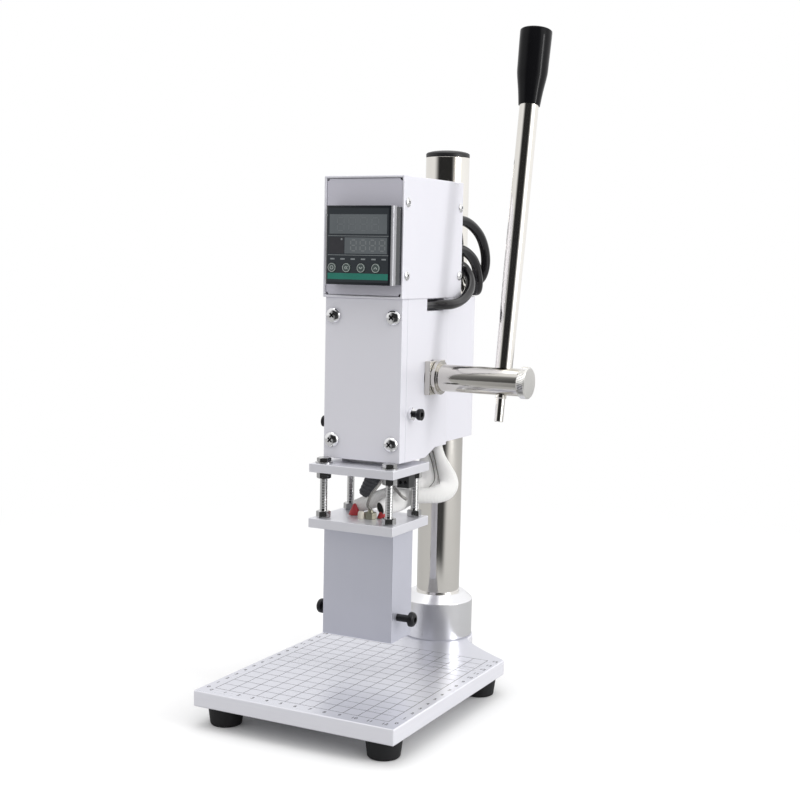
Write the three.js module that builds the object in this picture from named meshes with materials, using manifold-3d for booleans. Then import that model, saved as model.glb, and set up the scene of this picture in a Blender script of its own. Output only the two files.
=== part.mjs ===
// A bench-top hot stamping machine for leather: a plate with a column, a head that is clamped on the
// column, a ram that a lever drives down through a rack and pinion, a heated block under the ram and a
// control box with a temperature controller.
//
// All lengths are in millimetres and all angles in degrees. X runs across the machine, with the lever at
// its right. Y runs from the front to the back and is zero on the column's axis. Z is up and is zero on
// the table, which is the plate's top face. The finished model is then moved so that its origin is at
// the middle of its foot.

import * as THREE from 'three';
import { mergeVertices } from 'three/addons/utils/BufferGeometryUtils.js';
import Module from 'manifold-3d';

const wasm = await Module();
wasm.setup();

// Clearances and fineness that all pieces share.
const gap = 0.3;
const overrun = 2;
const roundSides = 24;
const fineSides = 32;
const smallSides = 12;
const hexSides = 6;
const cordSides = 8;

// The table plate, with a tail that curves in from the corners and ends in an arc around the collar.
const plateWidth = 138;
const plateFront = -196.5;
const plateBack = -39;
const plateThickness = 10;
const plateChamfer = 0.8;
const tailRadius = 25.5;
const tailWaist = 10.6;

// Rubber feet under the plate.
const footTopRadius = 11.3;
const footBottomRadius = 9.7;
const footHeight = 12.5;
const footSideInset = 14;
const footFrontInset = 15;
const footRearInset = 9;
const footX = plateWidth / 2 - footSideInset;
const footFrontY = plateFront + footFrontInset;
const footRearY = plateBack - footRearInset;
const footRecessRadius = 4.2;
const footRecessDepth = 6;

// The column, its collar, its cap and the bolt that holds it down.
const columnRadius = 15;
const columnTop = 333.7;
const columnWall = 2.5;
const columnPlug = 24;
const collarRadius = 24.5;
const collarHeight = 31;
const collarBevelRadius = 18.5;
const collarBevelHeight = 5.5;
const capRim = 2.2;
const capDome = 2.6;
const capInsert = 8;
const capDomeShare = 0.62;
const boltRadius = 4;
const boltHeadRadius = 6.5;
const boltHeadHeight = 5;
const boltReach = 16;

// The head casting: a square front part, a neck and a round clamp about the column.
const headHalfWidth = 27.3;
const headFront = -115.9;
const headSideEnd = -45;
const headCornerRadius = 6;
const headBottom = 137.4;
const headRoof = 6;
const ramTop = 226;
const ramHeadroom = 7;
const headTop = ramTop + ramHeadroom + headRoof;
const clampRadius = 21.1;
const undercut = 5.1;
const undercutStart = -80;
const undercutEnd = -66;
const coverThickness = 7.5;
const coverScrewX = 21.1;
const coverScrewRise = 11.7;
const coverScrewDrop = 11.2;
const coverScrewHeadRadius = 5.1;
const coverScrewHead = 2.9;
const coverScrewRadius = 2;
const coverScrewLength = 18;
const clampScrewRise = 26.6;
const clampScrewDrop = 25;
const clampScrewRadius = 3.6;
const clampScrewHeadRadius = 6.4;
const clampScrewHead = 7;
const clampScrewStand = 0.6;

// Rack and pinion. The pinion's axis lies behind the ram.
const pinionY = -73;
const pinionRise = 51.3;
const pinionZ = headBottom + pinionRise;
const gearModule = 1.75;
const pinionTeeth = 16;
const pressureAngle = 20;
const backlash = 0.35;
const addendumShare = 0.9;
const dedendumShare = 1.25;
const pinionHalfWidth = 12;
const flankSteps = 3;

// The lever shaft and its bearings.
const shaftRadius = 8.65;
const journalRadius = 6;
const shaftEnd = 89;
const shoulderRadius = 10.9;
const shoulderWidth = 2.4;
const bearingPlateHalf = 10.8;
const bearingPlateThickness = 4.2;
const bearingWall = 1.8;
const endCapRadius = 10;
const endCapLength = 5.5;
const endCapEdge = 0.8;
const endCapFlutes = 30;
const endCapFluteDepth = 0.35;

// The lever: a rod through the shaft, tilted back at rest, and its grip.
const leverX = 76.5;
const leverTilt = 10;
const rodRadius = 6.1;
const rodFootRadius = 5.5;
const rodTaperEnd = 90;
const rodStubRadius = 2.8;
const rodStubLength = 25.4;
const rodRingRadius = 3.4;
const rodRingHeight = 2;
const rodSeat = 7.9;
const gripStart = 175.8;
const gripWaist = 196.8;
const gripShoulder = 224.2;
const gripEnd = 225;
const gripFootRadius = 7;
const gripWaistRadius = 9.8;
const gripShoulderRadius = 10.3;
const gripCrownShare = 0.72;
const rodInGrip = 30;

// The ram bar and the four-stud cage under it.
const ramHalfWidth = 18.4;
const ramFront = -107.5;
const ramLift = 2.8;
const rackReach = 11.2;
const cageHalfWidth = 30;
const cageFront = -129;
const cageDepth = 49.9;
const upperPlateThickness = 5.5;
const lowerPlateThickness = 6;
const cageHeight = 29.4;
const studX = 23.5;
const studFrontY = -121.3;
const studRearY = -86.5;
const studRadius = 2.4;
const nutRadius = 4.62;
const nutHeight = 4.3;
const washerRadius = 5.5;
const washerThickness = 0.8;
const studHeadHeight = 2.7;

// The return spring, which hangs from the head's roof inside the ram.
const springRadius = 4.2;
const springWall = 1.2;
const springBoreRadius = 5.2;
const springLength = 66;
const springSeat = ramTop - springLength;

// The heated block, its heaters and its type slot with a clamp screw at each end.
const blockHalfWidth = 25;
const blockDepth = 27;
const blockY = -104.2;
const blockHeight = 70.1;
const blockEdge = 0.5;
const slotHalfLength = 21;
const slotWidth = 7;
const slotDepth = 20;
const slotY = -109.7;
const heaterX = 10.4;
const heaterRadius = 3.8;
const heaterDepth = 46;
const heaterBoot = 7.5;
const heaterBootTip = 2.2;
const typeScrewRise = 15.3;
const typeScrewRadius = 2.4;
const typeScrewLength = 20;
const typeScrewHeadRadius = 4.7;
const typeScrewHead = 3.5;
const typeScrewDomeShare = 0.55;
const typeScrewStandRight = 9;
const typeScrewStandLeft = 4.3;
const probeX = 4.2;
const probeY = -109.6;
const probeRadius = 1.5;
const probeDepth = 20;
const probeHexRadius = 4.1;
const probeHexHeight = 4.2;
const probeNeckRadius = 2;
const probeNeck = 1.6;
const sleeveRadius = 5;
const sleeveRib = 0.6;
const sleeveRibs = 5;
const sleeveY = -97.5;
const sleeveTopX = 0.2;
const sleeveFootX = -6.2;
const sleeveDrop = 2.8;
const sleeveFall = 14;
const terminalX = 22.2;
const terminalY = -96.6;
const terminalHalf = 4.2;
const terminalHeight = 9.2;

// Guide screws in the head's flanks, each with its lock nut.
const guideScrewY = -102.5;
const guideScrewRightRise = 30.1;
const guideScrewLeftRise = 21.1;
const guideScrewRightZ = headBottom + guideScrewRightRise;
const guideScrewLeftZ = headBottom + guideScrewLeftRise;
const guideScrewRadius = 2.1;
const guideNutRadius = 4.3;
const guideNutHeight = 2.2;
const guideHeadRadius = 3.6;
const guideHead = 3.2;
const guideNeck = 2.5;

// The temperature controller, a square case behind a square frame, a little right of the middle.
const frameSize = 48;
const frameLip = 1.6;
const caseSize = frameSize - 2 * frameLip;
const controllerX = 3.3;
const controllerRise = 8.4;
const frameLeft = controllerX - frameSize / 2;
const frameLow = headTop + controllerRise;
const caseDepth = 62;
const flangeDepth = 7.8;
const frameDepth = 4.2;
const frameEdge = 1;
const displayInset = 0.8;
const displayMargin = 3.2;
const displayTop = 4.4;
const displayHeight = 26.6;
const keyCount = 4;
const keyRadius = 2.9;
const keyFirst = 6.1;
const keyPitch = 10.2;
const keyRise = 10.3;
const keyProud = 0.7;
const keyDepth = 2.6;

// The control box, wide enough for the controller's case.
const boxWall = 1.6;
const caseClearance = 0.9;
const boxHalfWidth = controllerX + caseSize / 2 + caseClearance + boxWall;
const boxFront = -118.2;
const boxBack = -33.5;
const boxHeight = 75.3;
const panelThickness = 2;
const panelNotchRadius = 1.6;

// Leads between the box and the head, the glands that they pass and the wells that they enter.
const leadRadius = 3.3;
const leadBeside = 0.6;
const leadSide = boxHalfWidth + leadRadius + leadBeside;
const glandFlangeRadius = 5.2;
const glandInset = 1.4;
const glandX = boxHalfWidth - boxWall - glandFlangeRadius - glandInset;
const glandUpperRise = 51.5;
const glandMiddleRise = 32.5;
const glandLowerRise = 21.6;
const mainsGlandInset = 3.4;
const mainsGlandX = glandFlangeRadius + mainsGlandInset + boxWall - boxHalfWidth;
const mainsGlandRise = 23;
const glandFlange = 2.4;
const glandNoseRadius = 4.4;
const glandNose = 5;
const wellDepth = 7.4;
const wellFront = -82;
const wellBack = -58;
const wellHeight = 7.8;
const leftWellHeight = 15.6;
const ductX = 19.5;
const ductY = -51.5;
const ductRadius = 5.6;
const wireRadius = 4.3;

// Materials.
function finish(color, roughness, metalness) {
  return new THREE.MeshStandardMaterial({ color, roughness, metalness });
}
const satinSilver = finish(0xdcdce2, 0.42, 0.75);
const plateSilver = finish(0xc9cacf, 0.3, 0.85);
const blockGrey = finish(0xadafb9, 0.38, 0.8);
const nickel = finish(0xcfcac0, 0.12, 1);
const chrome = finish(0xd8d8d8, 0.1, 1);
const steel = finish(0x9a9a9c, 0.35, 0.9);
const bronze = finish(0xa98a55, 0.35, 0.9);
const blackSteel = finish(0x1b1b1d, 0.35, 0.6);
const blackGloss = finish(0x0d0d0e, 0.08, 0);
const blackPlastic = finish(0x15171a, 0.4, 0);
const keyGrey = finish(0x44504c, 0.5, 0);
const rubber = finish(0x19191a, 0.8, 0);
const cordBlack = finish(0x1c1b1f, 0.45, 0);
const glassWhite = finish(0xe6e6e2, 0.75, 0);
const sealRed = finish(0xb3262b, 0.5, 0);
const sleeveGrey = finish(0x5a5c60, 0.7, 0);
const fittingOlive = finish(0x8f8d78, 0.45, 0.7);

const machine = new THREE.Group();

// Makes a solid that can be cut and joined from a closed three.js geometry.
function solid(geometry) {
  const bare = new THREE.BufferGeometry();
  bare.setAttribute('position', geometry.getAttribute('position'));
  bare.setIndex(geometry.getIndex());
  const merged = mergeVertices(bare);
  const position = merged.getAttribute('position');
  const index = merged.getIndex();
  const triangles = [];
  let volume = 0;
  const corner = [new THREE.Vector3(), new THREE.Vector3(), new THREE.Vector3()];
  for (let i = 0; i < index.count; i += 3) {
    const [a, b, c] = [index.getX(i), index.getX(i + 1), index.getX(i + 2)];
    if (a === b || b === c || c === a) {
      continue;
    }
    corner[0].fromBufferAttribute(position, a);
    corner[1].fromBufferAttribute(position, b);
    corner[2].fromBufferAttribute(position, c);
    volume += corner[0].dot(corner[1].clone().cross(corner[2]));
    triangles.push([a, b, c]);
  }
  const facingOut = volume > 0 ? triangles : triangles.map(([a, b, c]) => [a, c, b]);
  return new wasm.Manifold(new wasm.Mesh({
    numProp: 3,
    vertProperties: new Float32Array(position.array),
    triVerts: new Uint32Array(facingOut.flat()),
  }));
}

// Adds a finished piece to the machine.
function piece(name, shape, material) {
  const mesh = shape.getMesh();
  const geometry = new THREE.BufferGeometry();
  geometry.setAttribute('position', new THREE.BufferAttribute(new Float32Array(mesh.vertProperties), 3));
  geometry.setIndex(new THREE.BufferAttribute(new Uint32Array(mesh.triVerts), 1));
  const faceted = geometry.toNonIndexed();
  faceted.computeVertexNormals();
  const node = new THREE.Mesh(faceted, material);
  node.name = name;
  machine.add(node);
}

// A block between two corners.
function block(x0, x1, y0, y1, z0, z1) {
  const geometry = new THREE.BoxGeometry(x1 - x0, y1 - y0, z1 - z0);
  geometry.translate((x0 + x1) / 2, (y0 + y1) / 2, (z0 + z1) / 2);
  return solid(geometry);
}

// Turns a geometry whose own axis is +Y so that it runs along the named axis, then moves it.
function along(geometry, axis, [x, y, z]) {
  if (axis === 'x') {
    geometry.rotateZ(-Math.PI / 2);
  } else if (axis === 'z') {
    geometry.rotateX(Math.PI / 2);
  }
  geometry.translate(x, y, z);
  return geometry;
}

// A turned piece. Its outline runs from one end of its axis to the other as [radius, distance].
function turned(outline, axis, place, sides = roundSides) {
  const points = outline.map(([radius, distance]) => new THREE.Vector2(radius, distance));
  return solid(along(new THREE.LatheGeometry(points, sides), axis, place));
}

// A plain round bar from one distance to another along its axis.
function bar(radius, from, to, axis, place, sides = roundSides) {
  return turned([[0, from], [radius, from], [radius, to], [0, to]], axis, place, sides);
}

// An upright prism of a plan outline, with chamfered edges if they are asked for.
function prism(outline, z0, z1, chamfer = 0, steps = roundSides) {
  const geometry = new THREE.ExtrudeGeometry(outline, {
    depth: z1 - z0 - 2 * chamfer,
    bevelEnabled: chamfer > 0,
    bevelThickness: chamfer,
    bevelSize: chamfer,
    bevelOffset: -chamfer,
    bevelSegments: 1,
    curveSegments: steps,
  });
  geometry.translate(0, 0, z0 + chamfer);
  return solid(geometry);
}

// A prism across the machine of an outline that is given as [y, z] points.
function profileAcross(points, x0, x1) {
  const outline = new THREE.Shape(points.map(([y, z]) => new THREE.Vector2(y, z)));
  const geometry = new THREE.ExtrudeGeometry(outline, { depth: x1 - x0, bevelEnabled: false });
  geometry.rotateX(Math.PI / 2);
  geometry.rotateZ(Math.PI / 2);
  geometry.translate(x0, 0, 0);
  return solid(geometry);
}

// A rectangle in plan, as a shape.
function rectangle(x0, x1, y0, y1) {
  const outline = new THREE.Shape();
  outline.moveTo(x0, y0);
  outline.lineTo(x1, y0);
  outline.lineTo(x1, y1);
  outline.lineTo(x0, y1);
  return outline;
}

// A round cord along a smooth route.
function cord(radius, route, steps) {
  const section = new THREE.Shape();
  for (let i = 0; i < cordSides; i += 1) {
    const angle = (2 * Math.PI * i) / cordSides;
    const [x, y] = [radius * Math.cos(angle), radius * Math.sin(angle)];
    if (i === 0) {
      section.moveTo(x, y);
    } else {
      section.lineTo(x, y);
    }
  }
  const path = new THREE.CatmullRomCurve3(route.map(([x, y, z]) => new THREE.Vector3(x, y, z)));
  return solid(new THREE.ExtrudeGeometry(section, { extrudePath: path, steps, bevelEnabled: false }));
}

// A dome on a round head: points of a flat ellipse from the rim to the axis.
function dome(radius, from, height, steps = 4) {
  const points = [];
  for (let i = 0; i <= steps; i += 1) {
    const angle = (Math.PI / 2) * (i / steps);
    const r = i === steps ? 0 : radius * Math.cos(angle);
    points.push([r, from + height * Math.sin(angle)]);
  }
  return points;
}

// The table: plate and feet.
function buildTable() {
  const half = plateWidth / 2;
  const outline = new THREE.Shape();
  outline.moveTo(-half, plateFront);
  outline.lineTo(half, plateFront);
  outline.lineTo(half, plateBack);
  outline.quadraticCurveTo(tailRadius, -tailWaist, tailRadius, 0);
  outline.absarc(0, 0, tailRadius, 0, Math.PI, false);
  outline.quadraticCurveTo(-tailRadius, -tailWaist, -half, plateBack);
  const underside = -plateThickness;
  const holeForBolt = bar(boltRadius + gap, underside - overrun, overrun, 'z', [0, 0, 0], smallSides);
  const holeForHead = bar(
    boltHeadRadius + gap, underside - overrun, underside + boltHeadHeight + gap, 'z', [0, 0, 0],
  );
  piece('base_plate', prism(outline, underside, 0, plateChamfer).subtract(holeForBolt)
    .subtract(holeForHead), plateSilver);
  const places = {
    foot_front_left: [-footX, footFrontY],
    foot_front_right: [footX, footFrontY],
    foot_rear_left: [-footX, footRearY],
    foot_rear_right: [footX, footRearY],
  };
  for (const [name, [x, y]] of Object.entries(places)) {
    const foot = turned([
      [0, -footHeight + footRecessDepth],
      [footRecessRadius, -footHeight + footRecessDepth],
      [footRecessRadius, -footHeight],
      [footBottomRadius, -footHeight],
      [footTopRadius, 0],
      [0, 0],
    ], 'z', [x, y, underside]);
    piece(name, foot, rubber);
  }
}

// The column with its collar, cap and bolt.
function buildColumn() {
  const bevelFoot = collarHeight - collarBevelHeight;
  piece('column_collar', turned([
    [columnRadius + gap, 0],
    [collarRadius, 0],
    [collarRadius, bevelFoot],
    [collarBevelRadius, collarHeight],
    [columnRadius + gap, collarHeight],
    [columnRadius + gap, 0],
  ], 'z', [0, 0, 0], fineSides), satinSilver);
  const bore = columnRadius - columnWall;
  piece('column', turned([
    [0, boltReach + gap],
    [boltRadius + gap, boltReach + gap],
    [boltRadius + gap, 0],
    [columnRadius, 0],
    [columnRadius, columnTop],
    [bore, columnTop],
    [bore, columnPlug],
    [0, columnPlug],
  ], 'z', [0, 0, 0], fineSides), nickel);
  const rimTop = columnTop + capRim;
  piece('column_cap', turned([
    [0, columnTop - capInsert],
    [bore - gap, columnTop - capInsert],
    [bore - gap, columnTop],
    [columnRadius, columnTop],
    [columnRadius, rimTop],
    [columnRadius * capDomeShare, rimTop + capDome * capDomeShare],
    [0, rimTop + capDome],
  ], 'z', [0, 0, 0], fineSides), blackPlastic);
  const boltTop = boltReach;
  const headLow = -plateThickness;
  piece('column_bolt', turned([
    [0, headLow],
    [boltHeadRadius, headLow],
    [boltHeadRadius, headLow + boltHeadHeight],
    [boltRadius, headLow + boltHeadHeight],
    [boltRadius, boltTop],
    [0, boltTop],
  ], 'z', [0, 0, 0], smallSides), steel);
}

// The outline of the head in plan, from behind the cover to the back of the clamp.
function headOutline(front) {
  const outline = new THREE.Shape();
  const inner = headHalfWidth - headCornerRadius;
  outline.moveTo(-headHalfWidth, front);
  outline.lineTo(headHalfWidth, front);
  outline.lineTo(headHalfWidth, headSideEnd - headCornerRadius);
  outline.absarc(inner, headSideEnd - headCornerRadius, headCornerRadius, 0, Math.PI / 2, false);
  outline.lineTo(clampRadius, headSideEnd);
  outline.absarc(0, 0, clampRadius, 0, Math.PI, false);
  outline.lineTo(-clampRadius, headSideEnd);
  outline.lineTo(-inner, headSideEnd);
  outline.absarc(-inner, headSideEnd - headCornerRadius, headCornerRadius, Math.PI / 2, Math.PI, false);
  return outline;
}

// Where the rack's teeth lie: the pitch line is one pitch radius in front of the pinion's axis.
const pitchRadius = (gearModule * pinionTeeth) / 2;
const pitchLine = pinionY - pitchRadius;
const rackTip = pitchLine + addendumShare * gearModule;
const rackRoot = pitchLine - dedendumShare * gearModule;
const ramBottom = headBottom - ramLift;
const coverBack = headFront + coverThickness;

// The head casting, with the ram's channel, the pinion's chamber, bearing bores, wells and duct.
function headCasting() {
  let body = prism(headOutline(coverBack), headBottom, headTop);
  const behind = clampRadius + overrun;
  body = body.subtract(profileAcross([
    [undercutStart, headBottom - overrun],
    [undercutStart, headBottom],
    [undercutEnd, headBottom + undercut],
    [behind, headBottom + undercut],
    [behind, headBottom - overrun],
  ], -headHalfWidth - overrun, headHalfWidth + overrun));
  body = body.subtract(bar(
    columnRadius + gap, headBottom - overrun, headTop + overrun, 'z', [0, 0, 0], fineSides,
  ));
  const channelHalf = ramHalfWidth + gap;
  body = body.subtract(block(
    -channelHalf, channelHalf, coverBack - overrun, rackTip + gap, headBottom - overrun, headTop - headRoof,
  ));
  const chamber = pitchRadius + gearModule + gap;
  const chamberHalf = pinionHalfWidth + gap;
  body = body.subtract(bar(chamber, -chamberHalf, chamberHalf, 'x', [0, pinionY, pinionZ]));
  const bearingBore = shaftRadius + bearingWall + 2 * gap;
  body = body.subtract(bar(bearingBore, 0, headHalfWidth + overrun, 'x', [0, pinionY, pinionZ]));
  const bushBore = journalRadius + bearingWall + 2 * gap;
  body = body.subtract(bar(bushBore, -headHalfWidth - overrun, 0, 'x', [0, pinionY, pinionZ]));
  for (const [side, height] of [[1, wellHeight], [-1, leftWellHeight]]) {
    const [inner, outer] = [headHalfWidth - wellDepth, headHalfWidth + overrun];
    const [x0, x1] = side > 0 ? [inner, outer] : [-outer, -inner];
    body = body.subtract(block(x0, x1, wellFront, wellBack, headTop - height, headTop + overrun));
  }
  const ductFoot = headBottom - overrun;
  body = body.subtract(bar(ductRadius, ductFoot, headTop + overrun, 'z', [ductX, ductY, 0], smallSides));
  for (const x of [-coverScrewX, coverScrewX]) {
    for (const z of [headBottom + coverScrewRise, headTop - coverScrewDrop]) {
      const end = headFront + coverScrewLength + gap;
      body = body.subtract(bar(coverScrewRadius + gap, coverBack - overrun, end, 'y', [x, 0, z], smallSides));
    }
  }
  for (const z of [headBottom + clampScrewRise, headTop - clampScrewDrop]) {
    body = body.subtract(bar(clampScrewRadius + gap, columnRadius, behind, 'y', [0, 0, z], smallSides));
  }
  const guideHole = guideScrewRadius + gap;
  const [inside, outside] = [ramHalfWidth, headHalfWidth + overrun];
  body = body.subtract(bar(guideHole, inside, outside, 'x', [0, guideScrewY, guideScrewRightZ], smallSides));
  body = body.subtract(bar(guideHole, -outside, -inside, 'x', [0, guideScrewY, guideScrewLeftZ], smallSides));
  return body;
}

// A pan head screw that points back from the cover's face.
function coverScrew(x, z) {
  const head = headFront - gap;
  return turned([
    ...dome(coverScrewHeadRadius, head - coverScrewHead / 2, -coverScrewHead / 2).reverse(),
    [coverScrewHeadRadius, head],
    [coverScrewRadius, head],
    [coverScrewRadius, headFront + coverScrewLength],
    [0, headFront + coverScrewLength],
  ], 'y', [x, 0, z], smallSides);
}

// A screw with its lock nut in a flank of the head. The side is 1 for the right and -1 for the left.
function guideScrew(side, z) {
  const wall = headHalfWidth + gap;
  const nutEnd = wall + guideNutHeight;
  const neckEnd = nutEnd + guideNeck;
  const shape = turned([
    [0, ramHalfWidth + 2 * gap],
    [guideScrewRadius, ramHalfWidth + 2 * gap],
    [guideScrewRadius, nutEnd - guideNutHeight / 2],
    [guideScrewRadius, neckEnd],
    [guideHeadRadius, neckEnd + guideHead / 3],
    ...dome(guideHeadRadius, neckEnd + guideHead / 2, guideHead / 2),
  ], 'x', [0, guideScrewY, z], smallSides);
  const nut = bar(guideNutRadius, wall, nutEnd, 'x', [0, guideScrewY, z], hexSides);
  const right = shape.add(nut);
  return side > 0 ? right : right.mirror([1, 0, 0]);
}

// The head: casting, front cover, screws, bearings, spring.
function buildHead() {
  piece('head_body', headCasting(), satinSilver);
  let cover = block(-headHalfWidth, headHalfWidth, headFront, coverBack, headBottom, headTop);
  const coverScrewLow = headBottom + coverScrewRise;
  const coverScrewHigh = headTop - coverScrewDrop;
  const screwPlaces = {
    cover_screw_low_left: [-coverScrewX, coverScrewLow],
    cover_screw_low_right: [coverScrewX, coverScrewLow],
    cover_screw_high_left: [-coverScrewX, coverScrewHigh],
    cover_screw_high_right: [coverScrewX, coverScrewHigh],
  };
  for (const [name, [x, z]] of Object.entries(screwPlaces)) {
    cover = cover.subtract(bar(
      coverScrewRadius + gap, headFront - overrun, coverBack + overrun, 'y', [x, 0, z], smallSides,
    ));
    piece(name, coverScrew(x, z), chrome);
  }
  piece('front_cover', cover, satinSilver);
  const clampScrews = {
    clamp_screw_low: headBottom + clampScrewRise,
    clamp_screw_high: headTop - clampScrewDrop,
  };
  for (const [name, z] of Object.entries(clampScrews)) {
    const seat = clampRadius + clampScrewStand;
    piece(name, turned([
      [0, columnRadius + 2 * gap],
      [clampScrewRadius, columnRadius + 2 * gap],
      [clampScrewRadius, seat],
      [clampScrewHeadRadius, seat],
      [clampScrewHeadRadius, seat + clampScrewHead],
      [0, seat + clampScrewHead],
    ], 'y', [0, 0, z], smallSides), blackSteel);
  }
  const sleeveInner = shaftRadius + gap;
  const sleeveOuter = sleeveInner + bearingWall;
  const plateEnd = headHalfWidth + bearingPlateThickness;
  const plate = block(
    headHalfWidth, plateEnd,
    pinionY - bearingPlateHalf, pinionY + bearingPlateHalf,
    pinionZ - bearingPlateHalf, pinionZ + bearingPlateHalf,
  );
  const sleeve = bar(sleeveOuter, pinionHalfWidth + 2 * gap, plateEnd, 'x', [0, pinionY, pinionZ]);
  const hole = bar(sleeveInner, 0, plateEnd + overrun, 'x', [0, pinionY, pinionZ]);
  piece('bearing_right', plate.add(sleeve).subtract(hole), nickel);
  const bushInner = journalRadius + gap;
  piece('bush_left', turned([
    [bushInner, -headHalfWidth],
    [bushInner + bearingWall, -headHalfWidth],
    [bushInner + bearingWall, -pinionHalfWidth - 2 * gap],
    [bushInner, -pinionHalfWidth - 2 * gap],
    [bushInner, -headHalfWidth],
  ], 'x', [0, pinionY, pinionZ]), bronze);
  piece('guide_screw_right', guideScrew(1, guideScrewRightZ), blackSteel);
  piece('guide_screw_left', guideScrew(-1, guideScrewLeftZ), blackSteel);
  const springInner = springRadius - springWall;
  const springY = (ramFront + rackRoot) / 2;
  piece('return_spring', turned([
    [springInner, springSeat + gap],
    [springRadius, springSeat + gap],
    [springRadius, headTop - headRoof - gap],
    [springInner, headTop - headRoof - gap],
    [springInner, springSeat + gap],
  ], 'z', [0, springY, 0], smallSides), steel);
}

// The pinion's outline with involute flanks, as a shape about its own axis.
function pinionOutline() {
  const pressure = THREE.MathUtils.degToRad(pressureAngle);
  const baseRadius = pitchRadius * Math.cos(pressure);
  const tipRadius = pitchRadius + addendumShare * gearModule;
  const rootRadius = pitchRadius - dedendumShare * gearModule;
  const involute = (angle) => Math.tan(angle) - angle;
  const halfAtPitch = Math.PI / (2 * pinionTeeth) - backlash / (4 * pitchRadius);
  const flank = [];
  for (let i = 0; i <= flankSteps; i += 1) {
    const radius = baseRadius + ((tipRadius - baseRadius) * i) / flankSteps;
    const angle = Math.acos(baseRadius / radius);
    flank.push([radius, halfAtPitch + involute(pressure) - involute(angle)]);
  }
  const rootAngle = flank[0][1];
  const points = [];
  for (let tooth = 0; tooth < pinionTeeth; tooth += 1) {
    const centre = (2 * Math.PI * tooth) / pinionTeeth;
    const side = [[rootRadius, rootAngle], ...flank];
    const rising = side.map(([radius, half]) => [radius, centre - half]);
    const falling = [...side].reverse().map(([radius, half]) => [radius, centre + half]);
    points.push(...rising, ...falling);
  }
  return points.map(([radius, angle]) => [radius * Math.cos(angle), radius * Math.sin(angle)]);
}

// The lever group: pinion, shaft, end cap, rod and grip. The pinion has a tooth towards the rack.
function buildLever() {
  const teeth = pinionOutline().map(([y, z]) => [pinionY + y, pinionZ + z]);
  const boreForShaft = bar(
    shaftRadius + gap, -pinionHalfWidth - overrun, pinionHalfWidth + overrun, 'x', [0, pinionY, pinionZ],
  );
  const gear = profileAcross(teeth, -pinionHalfWidth, pinionHalfWidth);
  piece('pinion', gear.subtract(boreForShaft), steel);

  const shoulderStart = headHalfWidth + bearingPlateThickness + gap;
  const shoulderEnd = shoulderStart + shoulderWidth;
  let shaft = turned([
    [0, -headHalfWidth],
    [journalRadius, -headHalfWidth],
    [journalRadius, -pinionHalfWidth],
    [shaftRadius, -pinionHalfWidth],
    [shaftRadius, shoulderStart],
    [shoulderRadius, shoulderStart],
    [shoulderRadius, shoulderEnd],
    [shaftRadius, shoulderEnd],
    [shaftRadius, shaftEnd],
    [0, shaftEnd],
  ], 'x', [0, pinionY, pinionZ], fineSides);
  const tilt = THREE.MathUtils.degToRad(leverTilt);
  const tilted = (outline, sides) => {
    const points = outline.map(([radius, distance]) => new THREE.Vector2(radius, distance));
    const geometry = new THREE.LatheGeometry(points, sides);
    geometry.rotateX(Math.PI / 2 - tilt);
    geometry.translate(leverX, pinionY, pinionZ);
    return solid(geometry);
  };
  const reach = shaftRadius + overrun;
  shaft = shaft.subtract(tilted([
    [0, -reach],
    [rodStubRadius + gap, -reach],
    [rodStubRadius + gap, rodSeat],
    [rodFootRadius + gap, rodSeat],
    [rodFootRadius + gap, reach],
    [0, reach],
  ], smallSides));
  piece('lever_shaft', shaft, nickel);

  const capStart = shaftEnd + gap;
  const capEnd = capStart + endCapLength;
  const knurl = new THREE.Shape();
  for (let i = 0; i < 2 * endCapFlutes; i += 1) {
    const angle = (Math.PI * i) / endCapFlutes;
    const radius = i % 2 === 0 ? endCapRadius : endCapRadius - endCapFluteDepth;
    const [x, y] = [radius * Math.cos(angle), radius * Math.sin(angle)];
    if (i === 0) {
      knurl.moveTo(x, y);
    } else {
      knurl.lineTo(x, y);
    }
  }
  const capGeometry = new THREE.ExtrudeGeometry(knurl, {
    depth: endCapLength - 2 * endCapEdge,
    bevelEnabled: true,
    bevelThickness: endCapEdge,
    bevelSize: endCapEdge,
    bevelOffset: -endCapEdge,
    bevelSegments: 1,
  });
  capGeometry.rotateY(Math.PI / 2);
  capGeometry.translate(capStart + endCapEdge, pinionY, pinionZ);
  piece('end_cap', solid(capGeometry), steel);

  const shoulder = rodSeat + gap;
  const ringTop = -shaftRadius - gap;
  const rodEnd = gripStart + rodInGrip;
  const rod = tilted([
    [0, -rodStubLength],
    [rodStubRadius, -rodStubLength],
    [rodStubRadius, ringTop - rodRingHeight],
    [rodRingRadius, ringTop - rodRingHeight],
    [rodRingRadius, ringTop],
    [rodStubRadius, ringTop],
    [rodStubRadius, shoulder],
    [rodFootRadius, shoulder],
    [rodRadius, rodTaperEnd],
    [rodRadius, gripStart - gap],
    [rodStubRadius, gripStart - gap],
    [rodStubRadius, rodEnd],
    [0, rodEnd],
  ], smallSides);
  piece('lever_rod', rod, nickel);

  const rise = gripEnd - gripShoulder;
  const grip = tilted([
    [0, rodEnd + gap],
    [rodStubRadius + gap, rodEnd + gap],
    [rodStubRadius + gap, gripStart],
    [gripFootRadius, gripStart],
    [gripWaistRadius, gripWaist],
    [gripShoulderRadius, gripShoulder],
    [gripShoulderRadius * gripCrownShare, gripShoulder + rise * gripCrownShare],
    [0, gripEnd],
  ], roundSides);
  piece('lever_grip', grip, blackGloss);
}

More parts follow.
